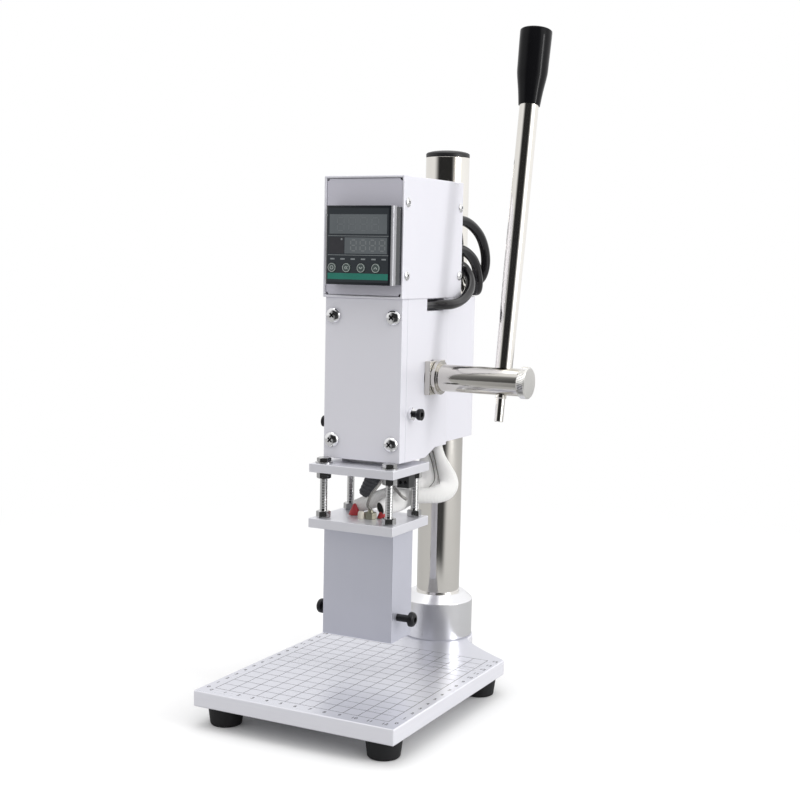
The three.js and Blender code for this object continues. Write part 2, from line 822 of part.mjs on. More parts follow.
// The ram bar: its back carries the rack, which has a space in line with the pinion's axis.
function ramBar() {
  const pitch = Math.PI * gearModule;
  const slope = Math.tan(THREE.MathUtils.degToRad(pressureAngle));
  const halfSpace = pitch / 4 + backlash / 4;
  const halfAtTip = halfSpace + (rackTip - pitchLine) * slope;
  const halfAtRoot = halfSpace - (pitchLine - rackRoot) * slope;
  const points = [[ramFront, ramBottom], [rackTip, ramBottom]];
  const first = Math.ceil(-rackReach / pitch);
  const last = Math.floor((ramTop - halfAtTip - pinionZ) / pitch);
  for (let i = first; i <= last; i += 1) {
    const centre = pinionZ + i * pitch;
    points.push([rackTip, centre - halfAtTip], [rackRoot, centre - halfAtRoot]);
    points.push([rackRoot, centre + halfAtRoot], [rackTip, centre + halfAtTip]);
  }
  points.push([rackTip, ramTop], [ramFront, ramTop]);
  const springY = (ramFront + rackRoot) / 2;
  const bore = bar(springBoreRadius, springSeat, ramTop + overrun, 'z', [0, springY, 0], smallSides);
  return profileAcross(points, -ramHalfWidth, ramHalfWidth).subtract(bore);
}

// Heights of the cage and the block, from the ram down.
const upperBottom = ramBottom - upperPlateThickness;
const lowerTop = upperBottom - cageHeight;
const lowerBottom = lowerTop - lowerPlateThickness;
const blockBottom = lowerBottom - blockHeight;
const cageBack = cageFront + cageDepth;

// A stud with its nuts. A front stud has a hexagon head and a washer on the upper plate.
function cageStud(x, y, withHead) {
  let shape = bar(studRadius, lowerBottom, ramBottom, 'z', [x, y, 0], smallSides);
  shape = shape.add(bar(nutRadius, upperBottom - nutHeight, upperBottom, 'z', [x, y, 0], hexSides));
  shape = shape.add(bar(nutRadius, lowerTop, lowerTop + nutHeight, 'z', [x, y, 0], hexSides));
  if (withHead) {
    const washerTop = ramBottom + washerThickness;
    shape = shape.add(bar(washerRadius, ramBottom, washerTop, 'z', [x, y, 0]));
    shape = shape.add(bar(nutRadius, washerTop, washerTop + studHeadHeight, 'z', [x, y, 0], hexSides));
  }
  return shape;
}

// The ram: bar, two plates and four studs.
function buildRam() {
  piece('ram_bar', ramBar(), steel);
  let upper = block(-cageHalfWidth, cageHalfWidth, cageFront, cageBack, upperBottom, ramBottom);
  let lower = block(-cageHalfWidth, cageHalfWidth, cageFront, cageBack, lowerBottom, lowerTop);
  const places = {
    stud_front_left: [-studX, studFrontY, true],
    stud_front_right: [studX, studFrontY, true],
    stud_rear_left: [-studX, studRearY, false],
    stud_rear_right: [studX, studRearY, false],
  };
  const hole = (x, y, radius) => bar(
    radius + gap, lowerBottom - overrun, ramBottom + overrun, 'z', [x, y, 0], smallSides,
  );
  for (const [name, [x, y, withHead]] of Object.entries(places)) {
    piece(name, cageStud(x, y, withHead), chrome);
    upper = upper.subtract(hole(x, y, studRadius));
    lower = lower.subtract(hole(x, y, studRadius));
  }
  for (const x of [-heaterX, heaterX]) {
    lower = lower.subtract(hole(x, blockY, heaterRadius));
  }
  lower = lower.subtract(hole(probeX, probeY, probeRadius));
  piece('upper_plate', upper, plateSilver);
  piece('lower_plate', lower, plateSilver);
}

// A button head screw that clamps the type from one end of the slot.
function typeScrew(side, stand) {
  const z = blockBottom + typeScrewRise;
  const headStart = blockHalfWidth + stand;
  const headEnd = headStart + typeScrewHead * (1 - typeScrewDomeShare);
  const right = turned([
    [0, headStart - typeScrewLength],
    [typeScrewRadius, headStart - typeScrewLength],
    [typeScrewRadius, headStart],
    [typeScrewHeadRadius, headStart],
    ...dome(typeScrewHeadRadius, headEnd, typeScrewHead * typeScrewDomeShare),
  ], 'x', [0, slotY, z], smallSides);
  return side > 0 ? right : right.mirror([1, 0, 0]);
}

// The heated block with what it holds.
function buildHeater() {
  const front = blockY - blockDepth / 2;
  const back = blockY + blockDepth / 2;
  const outline = rectangle(-blockHalfWidth, blockHalfWidth, front, back);
  let heated = prism(outline, blockBottom, lowerBottom, blockEdge);
  heated = heated.subtract(block(
    -slotHalfLength, slotHalfLength, slotY - slotWidth / 2, slotY + slotWidth / 2,
    blockBottom - overrun, blockBottom + slotDepth,
  ));
  const screwZ = blockBottom + typeScrewRise;
  heated = heated.subtract(bar(
    typeScrewRadius + gap, -blockHalfWidth - overrun, blockHalfWidth + overrun, 'x', [0, slotY, screwZ],
    smallSides,
  ));
  const heaterFoot = lowerTop - heaterDepth;
  for (const [name, x] of [['heater_cartridge_left', -heaterX], ['heater_cartridge_right', heaterX]]) {
    const place = [x, blockY, 0];
    const foot = heaterFoot - gap;
    heated = heated.subtract(bar(heaterRadius + gap, foot, lowerBottom + overrun, 'z', place, smallSides));
    piece(name, turned([
      [0, heaterFoot],
      [heaterRadius, heaterFoot],
      [heaterRadius, lowerTop + gap],
      [heaterBootTip, lowerTop + heaterBoot],
      [0, lowerTop + heaterBoot],
    ], 'z', place, smallSides), sealRed);
  }
  const probeFoot = lowerTop - probeDepth;
  heated = heated.subtract(bar(
    probeRadius + gap, probeFoot - gap, lowerBottom + overrun, 'z', [probeX, probeY, 0], smallSides,
  ));
  piece('heater_block', heated, blockGrey);
  const probe = turned([
    [0, probeFoot],
    [probeRadius, probeFoot],
    [probeRadius, lowerTop + probeHexHeight],
    [probeNeckRadius, lowerTop + probeHexHeight],
    [probeNeckRadius, lowerTop + probeHexHeight + probeNeck],
    [0, lowerTop + probeHexHeight + probeNeck],
  ], 'z', [probeX, probeY, 0], smallSides);
  const hex = bar(
    probeHexRadius, lowerTop, lowerTop + probeHexHeight, 'z', [probeX, probeY, 0], hexSides,
  );
  piece('thermocouple', probe.add(hex), fittingOlive);
  piece('type_screw_right', typeScrew(1, typeScrewStandRight), blackSteel);
  piece('type_screw_left', typeScrew(-1, typeScrewStandLeft), blackSteel);

  const sleeveTopZ = upperBottom - sleeveDrop;
  const top = new THREE.Vector3(sleeveTopX, sleeveY, sleeveTopZ);
  const foot = new THREE.Vector3(sleeveFootX, sleeveY, sleeveTopZ - sleeveFall);
  const length = top.distanceTo(foot);
  const ribbed = [[0, 0]];
  for (let i = 0; i < sleeveRibs; i += 1) {
    const start = (length * i) / sleeveRibs;
    const middle = start + length / sleeveRibs / 2;
    ribbed.push([sleeveRadius - sleeveRib, start], [sleeveRadius, middle]);
  }
  ribbed.push([sleeveRadius - sleeveRib, length], [0, length]);
  const points = ribbed.map(([radius, distance]) => new THREE.Vector2(radius, distance));
  const geometry = new THREE.LatheGeometry(points, smallSides);
  const up = new THREE.Vector3(0, 1, 0);
  geometry.applyQuaternion(new THREE.Quaternion().setFromUnitVectors(up, top.clone().sub(foot).normalize()));
  geometry.translate(foot.x, foot.y, foot.z);
  piece('thermocouple_sleeve', solid(geometry), sleeveGrey);
  piece('terminal_block', block(
    terminalX - terminalHalf, terminalX + terminalHalf, terminalY - terminalHalf, terminalY + terminalHalf,
    upperBottom - terminalHeight, upperBottom,
  ), blackPlastic);
}

// The control box: a folded shell with a panel let into each end.
const boxTop = headTop + boxHeight;
const frameCentre = [frameLeft + frameSize / 2, frameLow + frameSize / 2];

function gland(x, z) {
  const flangeEnd = boxBack + glandFlange;
  const noseEnd = flangeEnd + glandNose;
  const inner = leadRadius + 2 * gap;
  return turned([
    [inner, boxBack - panelThickness],
    [inner + gap, boxBack - panelThickness],
    [inner + gap, boxBack],
    [glandFlangeRadius, boxBack],
    [glandFlangeRadius, flangeEnd],
    [glandNoseRadius, noseEnd],
    [inner, noseEnd],
    [inner, boxBack - panelThickness],
  ], 'y', [x, 0, z], smallSides);
}

function buildBox() {
  const inner = boxHalfWidth - boxWall;
  const outer = block(-boxHalfWidth, boxHalfWidth, boxFront, boxBack, headTop, boxTop);
  const hollow = block(
    -inner, inner, boxFront - overrun, boxBack + overrun, headTop + boxWall, boxTop - boxWall,
  );
  piece('box_shell', outer.subtract(hollow), satinSilver);
  const [x0, x1] = [-inner + gap, inner - gap];
  const [z0, z1] = [headTop + boxWall + gap, boxTop - boxWall - gap];
  let front = block(x0, x1, boxFront, boxFront + panelThickness, z0, z1);
  const half = caseSize / 2 + gap;
  const [fx, fz] = frameCentre;
  front = front.subtract(block(
    fx - half, fx + half, boxFront - overrun, boxFront + panelThickness + overrun, fz - half, fz + half,
  ));
  for (const x of [x0, x1]) {
    for (const z of [z0, z1]) {
      front = front.subtract(bar(
        panelNotchRadius, boxFront - overrun, boxFront + panelThickness + overrun, 'y', [x, 0, z], smallSides,
      ));
    }
  }
  piece('box_front_panel', front, satinSilver);
  const glands = {
    gland_upper: [glandX, headTop + glandUpperRise],
    gland_middle: [glandX, headTop + glandMiddleRise],
    gland_lower: [glandX, headTop + glandLowerRise],
    gland_mains: [mainsGlandX, headTop + mainsGlandRise],
  };
  let rear = block(x0, x1, boxBack - panelThickness, boxBack, z0, z1);
  const hole = leadRadius + 4 * gap;
  for (const [name, [x, z]] of Object.entries(glands)) {
    rear = rear.subtract(bar(
      hole, boxBack - panelThickness - overrun, boxBack + overrun, 'y', [x, 0, z], smallSides,
    ));
    piece(name, gland(x, z), blackPlastic);
  }
  piece('box_rear_panel', rear, satinSilver);
}

// The temperature controller in the box's front.
function buildController() {
  const [fx, fz] = frameCentre;
  const flangeFront = boxFront - flangeDepth;
  const faceFront = flangeFront - frameDepth;
  const half = frameSize / 2;
  const caseHalf = caseSize / 2;
  const caseBody = block(
    fx - caseHalf, fx + caseHalf, boxFront, boxFront + caseDepth, fz - caseHalf, fz + caseHalf,
  );
  const flange = block(fx - half, fx + half, flangeFront, boxFront, fz - half, fz + half);
  piece('controller_case', caseBody.add(flange), blackPlastic);
  const frameGeometry = new THREE.ExtrudeGeometry(rectangle(-half, half, -half, half), {
    depth: frameDepth - frameEdge,
    bevelEnabled: true,
    bevelThickness: frameEdge,
    bevelSize: frameEdge,
    bevelOffset: -frameEdge,
    bevelSegments: 1,
  });
  frameGeometry.rotateX(Math.PI / 2);
  frameGeometry.translate(fx, flangeFront, fz);
  const slab = block(
    fx - half - overrun, fx + half + overrun, flangeFront, boxFront, fz - half - overrun, fz + half + overrun,
  );
  let face = solid(frameGeometry).subtract(slab);
  const displayZ = frameLow + frameSize - displayTop;
  face = face.subtract(block(
    frameLeft + displayMargin, frameLeft + frameSize - displayMargin,
    faceFront - overrun, faceFront + displayInset, displayZ - displayHeight, displayZ,
  ));
  for (let i = 0; i < keyCount; i += 1) {
    const place = [frameLeft + keyFirst + i * keyPitch, 0, frameLow + keyRise];
    face = face.subtract(bar(
      keyRadius + gap, faceFront - overrun, flangeFront - gap, 'y', place, roundSides,
    ));
    piece(`key_${i + 1}`, bar(
      keyRadius, faceFront - keyProud, faceFront - keyProud + keyDepth, 'y', place, roundSides,
    ), keyGrey);
  }
  piece('controller_face', face, blackPlastic);
}

// A route whose heights are given from a level, such as the top or the foot of the head.
function fromLevel(level, route) {
  return route.map(([x, y, rise]) => [x, y, level + rise]);
}

// The black leads. Each leaves a gland at the back of the box and enters a well in a flank of the head.
// The lower one goes round the right side. The other two pass behind the column, over the clamp.
const lowerLead = [
  [glandX, -40, glandLowerRise], [glandX, -33, glandLowerRise], [glandX, -26.8, glandLowerRise],
  [20.6, -21.4, 21.7], [23.4, -18.4, 19.2],
  [27, -19.2, 14.4], [29.8, -22.8, 9.3], [31.5, -28.6, 4.4], [leadSide, -36.5, 0.4], [leadSide, -45, -2.2],
  [31.8, -53.6, -3.6], [30.5, -60, -4], [27.1, -65.6, -4], [24.3, -71, -4], [23.7, -76.5, -4],
  [23.7, -81.6, -4],
];
const middleLead = [
  [glandX, -40, glandMiddleRise], [glandX, -33, glandMiddleRise],
  [glandX, -26, glandMiddleRise], [20.9, -17, 31.6], [22.3, -8.8, 28.4],
  [23.4, -2.6, 23.4], [24.1, 0.8, 16.4], [24, 2.8, 9.4], [21.6, 6.6, 4.6], [17.2, 12, 3.9],
  [10.2, 17.2, 3.8], [0, 20, 3.8], [-10.2, 17.2, 3.8], [-18.6, 10, 3.6], [-25.2, 0, 2.6],
  [-29.6, -13, 1], [-31.8, -28, -1], [-32.3, -42, -2.8], [-31.9, -53.6, -3.6], [-30.5, -60, -3.8],
  [-27.1, -65.6, -3.8], [-24.3, -71, -3.8], [-23.7, -76.5, -3.8], [-23.7, -81.6, -3.8],
];
const upperLead = [
  [glandX, -40, glandUpperRise], [glandX, -33, glandUpperRise],
  [glandX, -24, glandUpperRise], [22, -15.4, 50.6], [24, -7, 47],
  [25.8, 0.4, 41], [26.8, 5.4, 33], [27, 7.6, 24.6], [25.6, 8.4, 17.4], [21.4, 12, 12.2],
  [14.4, 18.2, 11], [5, 22.4, 10.9], [-5.6, 22.4, 10.8], [-15.6, 18, 10.6], [-24.6, 10, 9.8],
  [-31.6, -1.6, 8.4], [-36.6, -15, 5.8], [-39.2, -28, 1.8], [-39.4, -40, -3.2], [-37.4, -51, -8.4],
  [-33.2, -59.6, -11.1], [-27.6, -66, -11.4], [-24.4, -71.6, -11.4], [-23.7, -77, -11.4],
  [-23.7, -81.6, -11.4],
];

// The white heater wires, from the duct in the head. The long one swings out to the right before it
// comes back to the right heater, and the short one goes in front of the grey sleeve to the left one.
const longWire = [
  [19.5, -51.5, 18.6], [19.5, -51.5, 10.6], [20.2, -52.4, 3.1], [24, -54.8, -3.8], [30.2, -58, -9.8],
  [37, -61.4, -14.2], [40, -64, -19.8], [38.2, -67, -24.8], [30.6, -73, -26], [23, -78.6, -26.2],
  [16.8, -83.6, -27], [14.6, -91, -26.6], [13.4, -98.4, -24.8],
];
const shortWire = [
  [19.5, -51.5, 18.6], [19.5, -51.5, 10.6], [18.8, -52, 3.6], [17.8, -54, -3.4], [19.4, -58, -11.4],
  [20.8, -64, -16.4], [20.6, -72, -18.8], [18.4, -79.6, -20.4], [15.4, -86.4, -21.8], [12, -94.6, -22.8],
  [8, -101.6, -23.4], [3.4, -106.8, -24.8], [-1.4, -108.2, -27],
];
const leadSteps = 28;
const longLeadSteps = 44;
const wireSteps = 24;

function buildLeads() {
  piece('lead_lower', cord(leadRadius, fromLevel(headTop, lowerLead), leadSteps), cordBlack);
  piece('lead_middle', cord(leadRadius, fromLevel(headTop, middleLead), longLeadSteps), cordBlack);
  piece('lead_upper', cord(leadRadius, fromLevel(headTop, upperLead), longLeadSteps), cordBlack);
  const wires = cord(wireRadius, fromLevel(headBottom, longWire), wireSteps)
    .add(cord(wireRadius, fromLevel(headBottom, shortWire), wireSteps));
  piece('heater_wires', wires, glassWhite);
}

buildTable();
buildColumn();
buildHead();
buildBox();
buildController();
buildLeads();
buildRam();
buildHeater();
buildLever();

// The origin goes to the middle of the machine's foot.
const bounds = new THREE.Box3().setFromObject(machine);
const middle = bounds.getCenter(new THREE.Vector3());
machine.position.set(-middle.x, -middle.y, -bounds.min.z);
const model = new THREE.Group();
model.add(machine);

export default model;
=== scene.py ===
import math

import bmesh
import bpy
from mathutils import Matrix, Vector


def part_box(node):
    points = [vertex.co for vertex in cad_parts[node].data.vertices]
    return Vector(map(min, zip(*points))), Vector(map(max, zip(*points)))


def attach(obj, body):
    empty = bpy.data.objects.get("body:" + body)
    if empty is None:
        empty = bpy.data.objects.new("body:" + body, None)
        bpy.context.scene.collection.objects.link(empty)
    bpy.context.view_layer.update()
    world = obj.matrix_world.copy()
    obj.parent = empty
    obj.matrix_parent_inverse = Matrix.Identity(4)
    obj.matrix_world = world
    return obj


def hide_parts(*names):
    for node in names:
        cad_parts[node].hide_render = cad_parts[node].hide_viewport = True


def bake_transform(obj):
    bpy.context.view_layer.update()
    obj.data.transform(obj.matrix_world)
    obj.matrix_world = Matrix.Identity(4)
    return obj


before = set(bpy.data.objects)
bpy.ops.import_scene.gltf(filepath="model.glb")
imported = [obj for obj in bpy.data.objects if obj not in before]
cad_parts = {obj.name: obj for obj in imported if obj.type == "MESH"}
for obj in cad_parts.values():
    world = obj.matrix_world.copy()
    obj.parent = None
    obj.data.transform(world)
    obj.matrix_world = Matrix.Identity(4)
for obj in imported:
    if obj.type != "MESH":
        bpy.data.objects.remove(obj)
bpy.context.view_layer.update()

# The photographer's view, from the machine's front right and a little above its middle. The lens and
# the place are those at which the table's engraved grid looks as it does in the photograph.
MM = 0.001
TABLE_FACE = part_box("base_plate")[1].z
COLUMN_AXIS = (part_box("column")[0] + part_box("column")[1]) / 2
VIEW_PLACE_MM = (410.8, -855.7, 262.4)
VIEW_YAW, VIEW_PITCH, VIEW_ROLL = 27.43, 5.83, 1.17
VIEW_LENS_MM, FILM_MM = 61.23, 36.0
VIEW_NEAR, VIEW_FAR = 0.05, 20.0


def spot(across, back, up):
    """A place in millimetres: across and back from the column's axis, and up from the table's face."""
    return Vector((COLUMN_AXIS.x + across * MM, COLUMN_AXIS.y + back * MM, TABLE_FACE + up * MM))


def shown(name, data):
    """Puts a new object with this data, such as a mesh or a lamp, in the scene."""
    thing = bpy.data.objects.new(name, data)
    bpy.context.scene.collection.objects.link(thing)
    return thing


camera_data = bpy.data.cameras.new("camera")
camera_data.sensor_width = FILM_MM
camera_data.lens = VIEW_LENS_MM
camera_data.clip_start, camera_data.clip_end = VIEW_NEAR, VIEW_FAR
camera = shown("camera", camera_data)
camera.matrix_world = (
    Matrix.Translation(spot(*VIEW_PLACE_MM))
    @ Matrix.Rotation(math.radians(VIEW_YAW), 4, "Z")
    @ Matrix.Rotation(math.radians(90 - VIEW_PITCH), 4, "X")
    @ Matrix.Rotation(math.radians(VIEW_ROLL), 4, "Z")
)
bpy.context.scene.camera = camera
bpy.context.scene.view_settings.view_transform = "Standard"


# Shading stands for a node tree and Link for a value in it, so that ordinary sums on a Link add Math
# nodes. Finish is the shading of one material, built from Blender's Principled surface.
class Link:
    def __init__(self, shading, socket):
        self.shading = shading
        self.socket = socket

    def maths(self, operation, first, second):
        return self.shading.node("ShaderNodeMath", {"operation": operation}, {0: first, 1: second})

    def __add__(self, other):
        return self.maths("ADD", self, other)

    def __radd__(self, other):
        return self.maths("ADD", other, self)

    def __sub__(self, other):
        return self.maths("SUBTRACT", self, other)

    def __rsub__(self, other):
        return self.maths("SUBTRACT", other, self)

    def __mul__(self, other):
        return self.maths("MULTIPLY", self, other)

    def __rmul__(self, other):
        return self.maths("MULTIPLY", other, self)

    def output(self, number):
        """Another output of the same node."""
        return Link(self.shading, self.socket.node.outputs[number])


class Shading:
    def __init__(self, tree):
        self.tree = tree

    def join(self, socket, value):
        if isinstance(value, Link):
            self.tree.links.new(value.socket, socket)
        elif isinstance(value, tuple) and len(value) == 3 and socket.type == "RGBA":
            socket.default_value = (*value, 1.0)
        else:
            socket.default_value = value

    def node(self, kind, settings=None, sockets=None):
        """Adds a node. Its settings are set first, then the values or links of its sockets."""
        added = self.tree.nodes.new(kind)
        for name, value in (settings or {}).items():
            setattr(added, name, value)
        for name, value in (sockets or {}).items():
            self.join(added.inputs[name], value)
        return Link(self, added.outputs[0])

    def ramp(self, value, low, high):
        """A soft step from 0, where the value is low, to 1, where it is high."""
        step = {0: value, 1: low, 2: high, 3: 0.0, 4: 1.0}
        return self.node("ShaderNodeMapRange", {"interpolation_type": "SMOOTHSTEP"}, step)

    def between(self, value, low, high, low_edge, high_edge):
        """1 where the value is between low and high, with soft edges of these half widths."""
        rise = self.ramp(value, low - low_edge, low + low_edge)
        return rise - self.ramp(value, high - high_edge, high + high_edge)

    def bearing(self, parts):
        """The bearing of a place, in degrees from straight ahead of the machine towards its right."""
        return parts.maths("ARCTAN2", parts.output(0), parts.output(1) * -1.0) * (180 / math.pi)


class Finish(Shading):
    def __init__(self, name, slot=None, **surface):
        self.slot = slot
        self.material = bpy.data.materials.new(name)
        self.material.use_nodes = True
        super().__init__(self.material.node_tree)
        self.principled = self.tree.nodes["Principled BSDF"]
        self.coat(**surface)

    def coat(self, **surface):
        """Sets the surface's own sockets. A name such as base_color is the socket Base Color."""
        for name, value in surface.items():
            title = " ".join("IOR" if word == "ior" else word.capitalize() for word in name.split("_"))
            self.join(self.principled.inputs[title], value)

    def speckle(self, per_mm, stretch=(1, 1, 1), detail=3.0):
        """Noise from 0 to 1 with so many grains in a millimetre, drawn out along the axes by stretch."""
        place = self.node("ShaderNodeTexCoord").output("Object")
        grain = self.node("ShaderNodeMapping", None, {"Vector": place, "Scale": stretch})
        noise = {"Vector": grain, "Scale": per_mm / MM, "Detail": detail}
        return self.node("ShaderNodeTexNoise", None, noise)

    def mixed(self, share, first, second):
        """A colour between two colours."""
        colours = {0: share, 6: first, 7: second}
        return self.node("ShaderNodeMix", {"data_type": "RGBA"}, colours).output(2)

    def relief(self, height, depth_mm):
        """Lets height, from 0 to 1, roughen the surface by a depth in millimetres."""
        bump = {"Height": height, "Strength": 1.0, "Distance": depth_mm * MM}
        self.join(self.principled.inputs["Normal"], self.node("ShaderNodeBump", None, bump))

    def grained(self, grain, first, second, roughness=None, relief_mm=None):
        """Mixes two colours by a grain, which may add to a roughness and stand out from the surface.

        The grain is noise or a number of grains in a millimetre. The roughness is its least value and
        what the grain adds.
        """
        if not isinstance(grain, Link):
            grain = self.speckle(grain)
        self.coat(base_color=self.mixed(grain, first, second))
        if roughness:
            self.coat(roughness=roughness[0] + grain * roughness[1])
        if relief_mm:
            self.relief(grain, relief_mm)
        return self


# The studio: a white floor that fades into a white backdrop, soft light from all round and lamps at
# the right and above. Polished metal shows a dark band, which is the unlit side of the room in front.
HALF_FLOOR = 3.0
FLOOR_GAP_MM = 0.1
WHITE_FROM, WHITE_TO = 0.22, 0.75
FLOOR_SEEN, FLOOR_BOUNCE = (0.97, 0.97, 0.97), (0.5, 0.5, 0.5)
MIRRORED_LIGHT, MIRRORED_DARK = (0.5, 0.5, 0.5), (0.04, 0.04, 0.04)
SHADE_LEFT, SHADE_RIGHT, SHADE_EDGE = -14.0, 62.0, 16.0
SHADE_FROM, SHADE_TO = 0.2, 0.32


def meshed(name, corners, faces):
    mesh = bpy.data.meshes.new(name)
    mesh.from_pydata([tuple(corner) for corner in corners], [], faces)
    return mesh


floor_corners = [(x * HALF_FLOOR, y * HALF_FLOOR, 0) for x, y in ((-1, -1), (1, -1), (1, 1), (-1, 1))]
floor = shown("studio_floor", meshed("studio_floor", floor_corners, [(0, 1, 2, 3)]))
floor.location.z = -FLOOR_GAP_MM * MM
paper = Finish("studio_floor", roughness=0.9, specular_ior_level=0.0)
rays = paper.node("ShaderNodeLightPath")
seen, mirrored = rays.output("Is Camera Ray"), rays.output("Is Glossy Ray")
from_middle = paper.node("ShaderNodeTexCoord").output("Object")
reach = paper.node("ShaderNodeVectorMath", {"operation": "LENGTH"}, {0: from_middle}).output("Value")
bearing = paper.bearing(paper.node("ShaderNodeSeparateXYZ", None, {0: from_middle}))
shade = paper.between(bearing, SHADE_LEFT, SHADE_RIGHT, SHADE_EDGE, SHADE_EDGE)
shade = shade * paper.ramp(reach, SHADE_FROM, SHADE_TO)
in_metal = paper.mixed(shade, MIRRORED_LIGHT, MIRRORED_DARK)
not_seen = paper.mixed(mirrored, FLOOR_BOUNCE, in_metal)
paper.coat(base_color=paper.mixed(seen, not_seen, FLOOR_SEEN))
white = paper.node("ShaderNodeEmission", None, {"Color": (1, 1, 1), "Strength": 1.0})
surfaces = {0: paper.ramp(reach, WHITE_FROM, WHITE_TO) * seen, 1: Link(paper, paper.principled.outputs[0])}
backdrop = paper.node("ShaderNodeMixShader", None, {**surfaces, 2: white})
paper.join(paper.tree.nodes["Material Output"].inputs["Surface"], backdrop)
floor.data.materials.append(paper.material)

# The light from all round is a little brighter towards the lamps. Glossy rays see more contrast, and
# the dark band reaches from left to right and from low to high at these angles, in degrees.
SKY_DIM, SKY_BRIGHT = 0.66, 1.0
SHEEN_DIM, SHEEN_BRIGHT, SHEEN_DARK = 0.85, 1.1, 0.022
TOWARD_LIGHT = (0.7, 0.02, 0.7)
BAND_LEFT, BAND_RIGHT, BAND_LEFT_EDGE, BAND_RIGHT_EDGE = -34.0, 62.0, 17.0, 16.0
BAND_LOW, BAND_HIGH, BAND_LOW_EDGE, BAND_TOP_EDGE = -28.0, 44.0, 9.0, 7.0
world = bpy.data.worlds.new("studio")
world.use_nodes = True
bpy.context.scene.world = world
sky = Shading(world.node_tree)
way = sky.node("ShaderNodeTexCoord").output("Generated")
lit = sky.node("ShaderNodeVectorMath", {"operation": "DOT_PRODUCT"}, {0: way, 1: TOWARD_LIGHT})
lit = sky.ramp(lit.output("Value"), -1.0, 1.0)
parts = sky.node("ShaderNodeSeparateXYZ", None, {0: way})
height = parts.maths("ARCSINE", parts.output(2), 0.0) * (180 / math.pi)
band = sky.between(sky.bearing(parts), BAND_LEFT, BAND_RIGHT, BAND_LEFT_EDGE, BAND_RIGHT_EDGE)
band = band * sky.between(height, BAND_LOW, BAND_HIGH, BAND_LOW_EDGE, BAND_TOP_EDGE)
sheen = (lit * (SHEEN_BRIGHT - SHEEN_DIM) + SHEEN_DIM) * (1.0 - band) + band * SHEEN_DARK
softness = lit * (SKY_BRIGHT - SKY_DIM) + SKY_DIM
rays = sky.node("ShaderNodeLightPath")
seen, mirrored = rays.output("Is Camera Ray"), rays.output("Is Glossy Ray")
level = sheen * mirrored + softness * (1.0 - mirrored)
surround = world.node_tree.nodes["Background"]
sky.join(surround.inputs["Strength"], level * (1.0 - seen) + seen)
sky.join(surround.inputs["Color"], (1.0, 1.0, 1.0))

# Three softboxes look at the machine's middle: each has its place and its size in metres, and its
# power in watts.
SOFTBOXES = {
    "key_lamp": ((1.5, -0.1, 0.9), (1.0, 1.2), 3.0),
    "strip_lamp": ((1.35, -0.02, 0.5), (0.2, 0.8), 4.6),
    "top_lamp": ((-0.1, 0.1, 1.7), (1.2, 1.2), 5.5),
}
MIDDLE = Vector((0.0, 0.0, 0.2))
for name, (place, size, power) in SOFTBOXES.items():
    light = bpy.data.lights.new(name, "AREA")
    light.shape = "RECTANGLE"
    light.size, light.size_y = size
    light.energy = power
    stand = shown(name, light)
    stand.location = place
    stand.rotation_euler = (MIDDLE - Vector(place)).to_track_quat("-Z", "Y").to_euler()


# The table is a machined aluminium plate with a tail that curves in and ends in an arc about the
# column. It is one milled outline with eased edges, a polished top and a hole for the bolt below.
PLATE_BACK_MM = -39.0
TAIL_WAIST_MM = 10.6
TAIL_STEPS, BEND_STEPS = 48, 14
PLATE_EDGE_MM = 0.9
BOLT_HOLE_MM, BOLT_HOLE_DEPTH_MM = 6.9, 5.4
SAME_PLACE = 1e-7
UPRIGHT_FACE = 0.5


def shaded(piece, angle=30.0):
    """Smooth shading, with sharp edges where faces turn by more than the angle."""
    piece.data.shade_smooth()
    piece.data.set_sharp_from_angle(angle=math.radians(angle))
    return piece


def outward(mesh, merge=None):
    """Turns a mesh's faces outwards, and first joins corners that are closer than merge."""
    work = bmesh.new()
    work.from_mesh(mesh)
    if merge:
        bmesh.ops.remove_doubles(work, verts=work.verts, dist=merge)
    bmesh.ops.recalc_face_normals(work, faces=work.faces)
    work.to_mesh(mesh)
    work.free()
    return mesh


def made(name, corners, faces):
    return shaded(shown(name, outward(meshed(name, corners, faces), SAME_PLACE)))


def ringed(count, rows):
    """The faces of a skin over rows of corners that each go round once: two lids, then the sides."""
    faces = [tuple(range(count)), tuple(range((rows - 1) * count, rows * count))]
    for row in range(0, (rows - 1) * count, count):
        for i in range(count):
            j = (i + 1) % count
            faces.append((row + i, row + j, row + count + j, row + count + i))
    return faces


def prism(name, outline, low, high):
    """An upright solid with a flat outline, in metres."""
    corners = [(x, y, z) for z in (low, high) for x, y in outline]
    return made(name, corners, ringed(len(outline), 2))


def block(name, low, high):
    outline = [(low[0], low[1]), (high[0], low[1]), (high[0], high[1]), (low[0], high[1])]
    return prism(name, outline, low[2], high[2])


def turned(name, outline, sides=64):
    """A solid turned about Z. The outline is a list of (radius, height) in metres."""
    corners, rings = [], []
    for radius, height in outline:
        if radius < SAME_PLACE:
            rings.append([len(corners)] * sides)
            corners.append((0.0, 0.0, height))
            continue
        rings.append([len(corners) + i for i in range(sides)])
        for i in range(sides):
            angle = 2 * math.pi * i / sides
            corners.append((radius * math.cos(angle), radius * math.sin(angle), height))
    faces = []
    for lower, upper in zip(rings, rings[1:]):
        for i in range(sides):
            j = (i + 1) % sides
            face = tuple(dict.fromkeys((lower[i], lower[j], upper[j], upper[i])))
            if len(face) > 2:
                faces.append(face)
    return made(name, corners, faces)


def pin(name, radius, low, high, sides):
    """A plain round bar about Z."""
    return turned(name, [(0, low), (radius, low), (radius, high), (0, high)], sides)


def placed(piece, place, direction=(0, 0, 1)):
    """Turns a piece that was made about Z to a direction and moves it to its place."""
    turn = Vector((0, 0, 1)).rotation_difference(Vector(direction).normalized())
    piece.data.transform(Matrix.Translation(place) @ turn.to_matrix().to_4x4())
    return piece


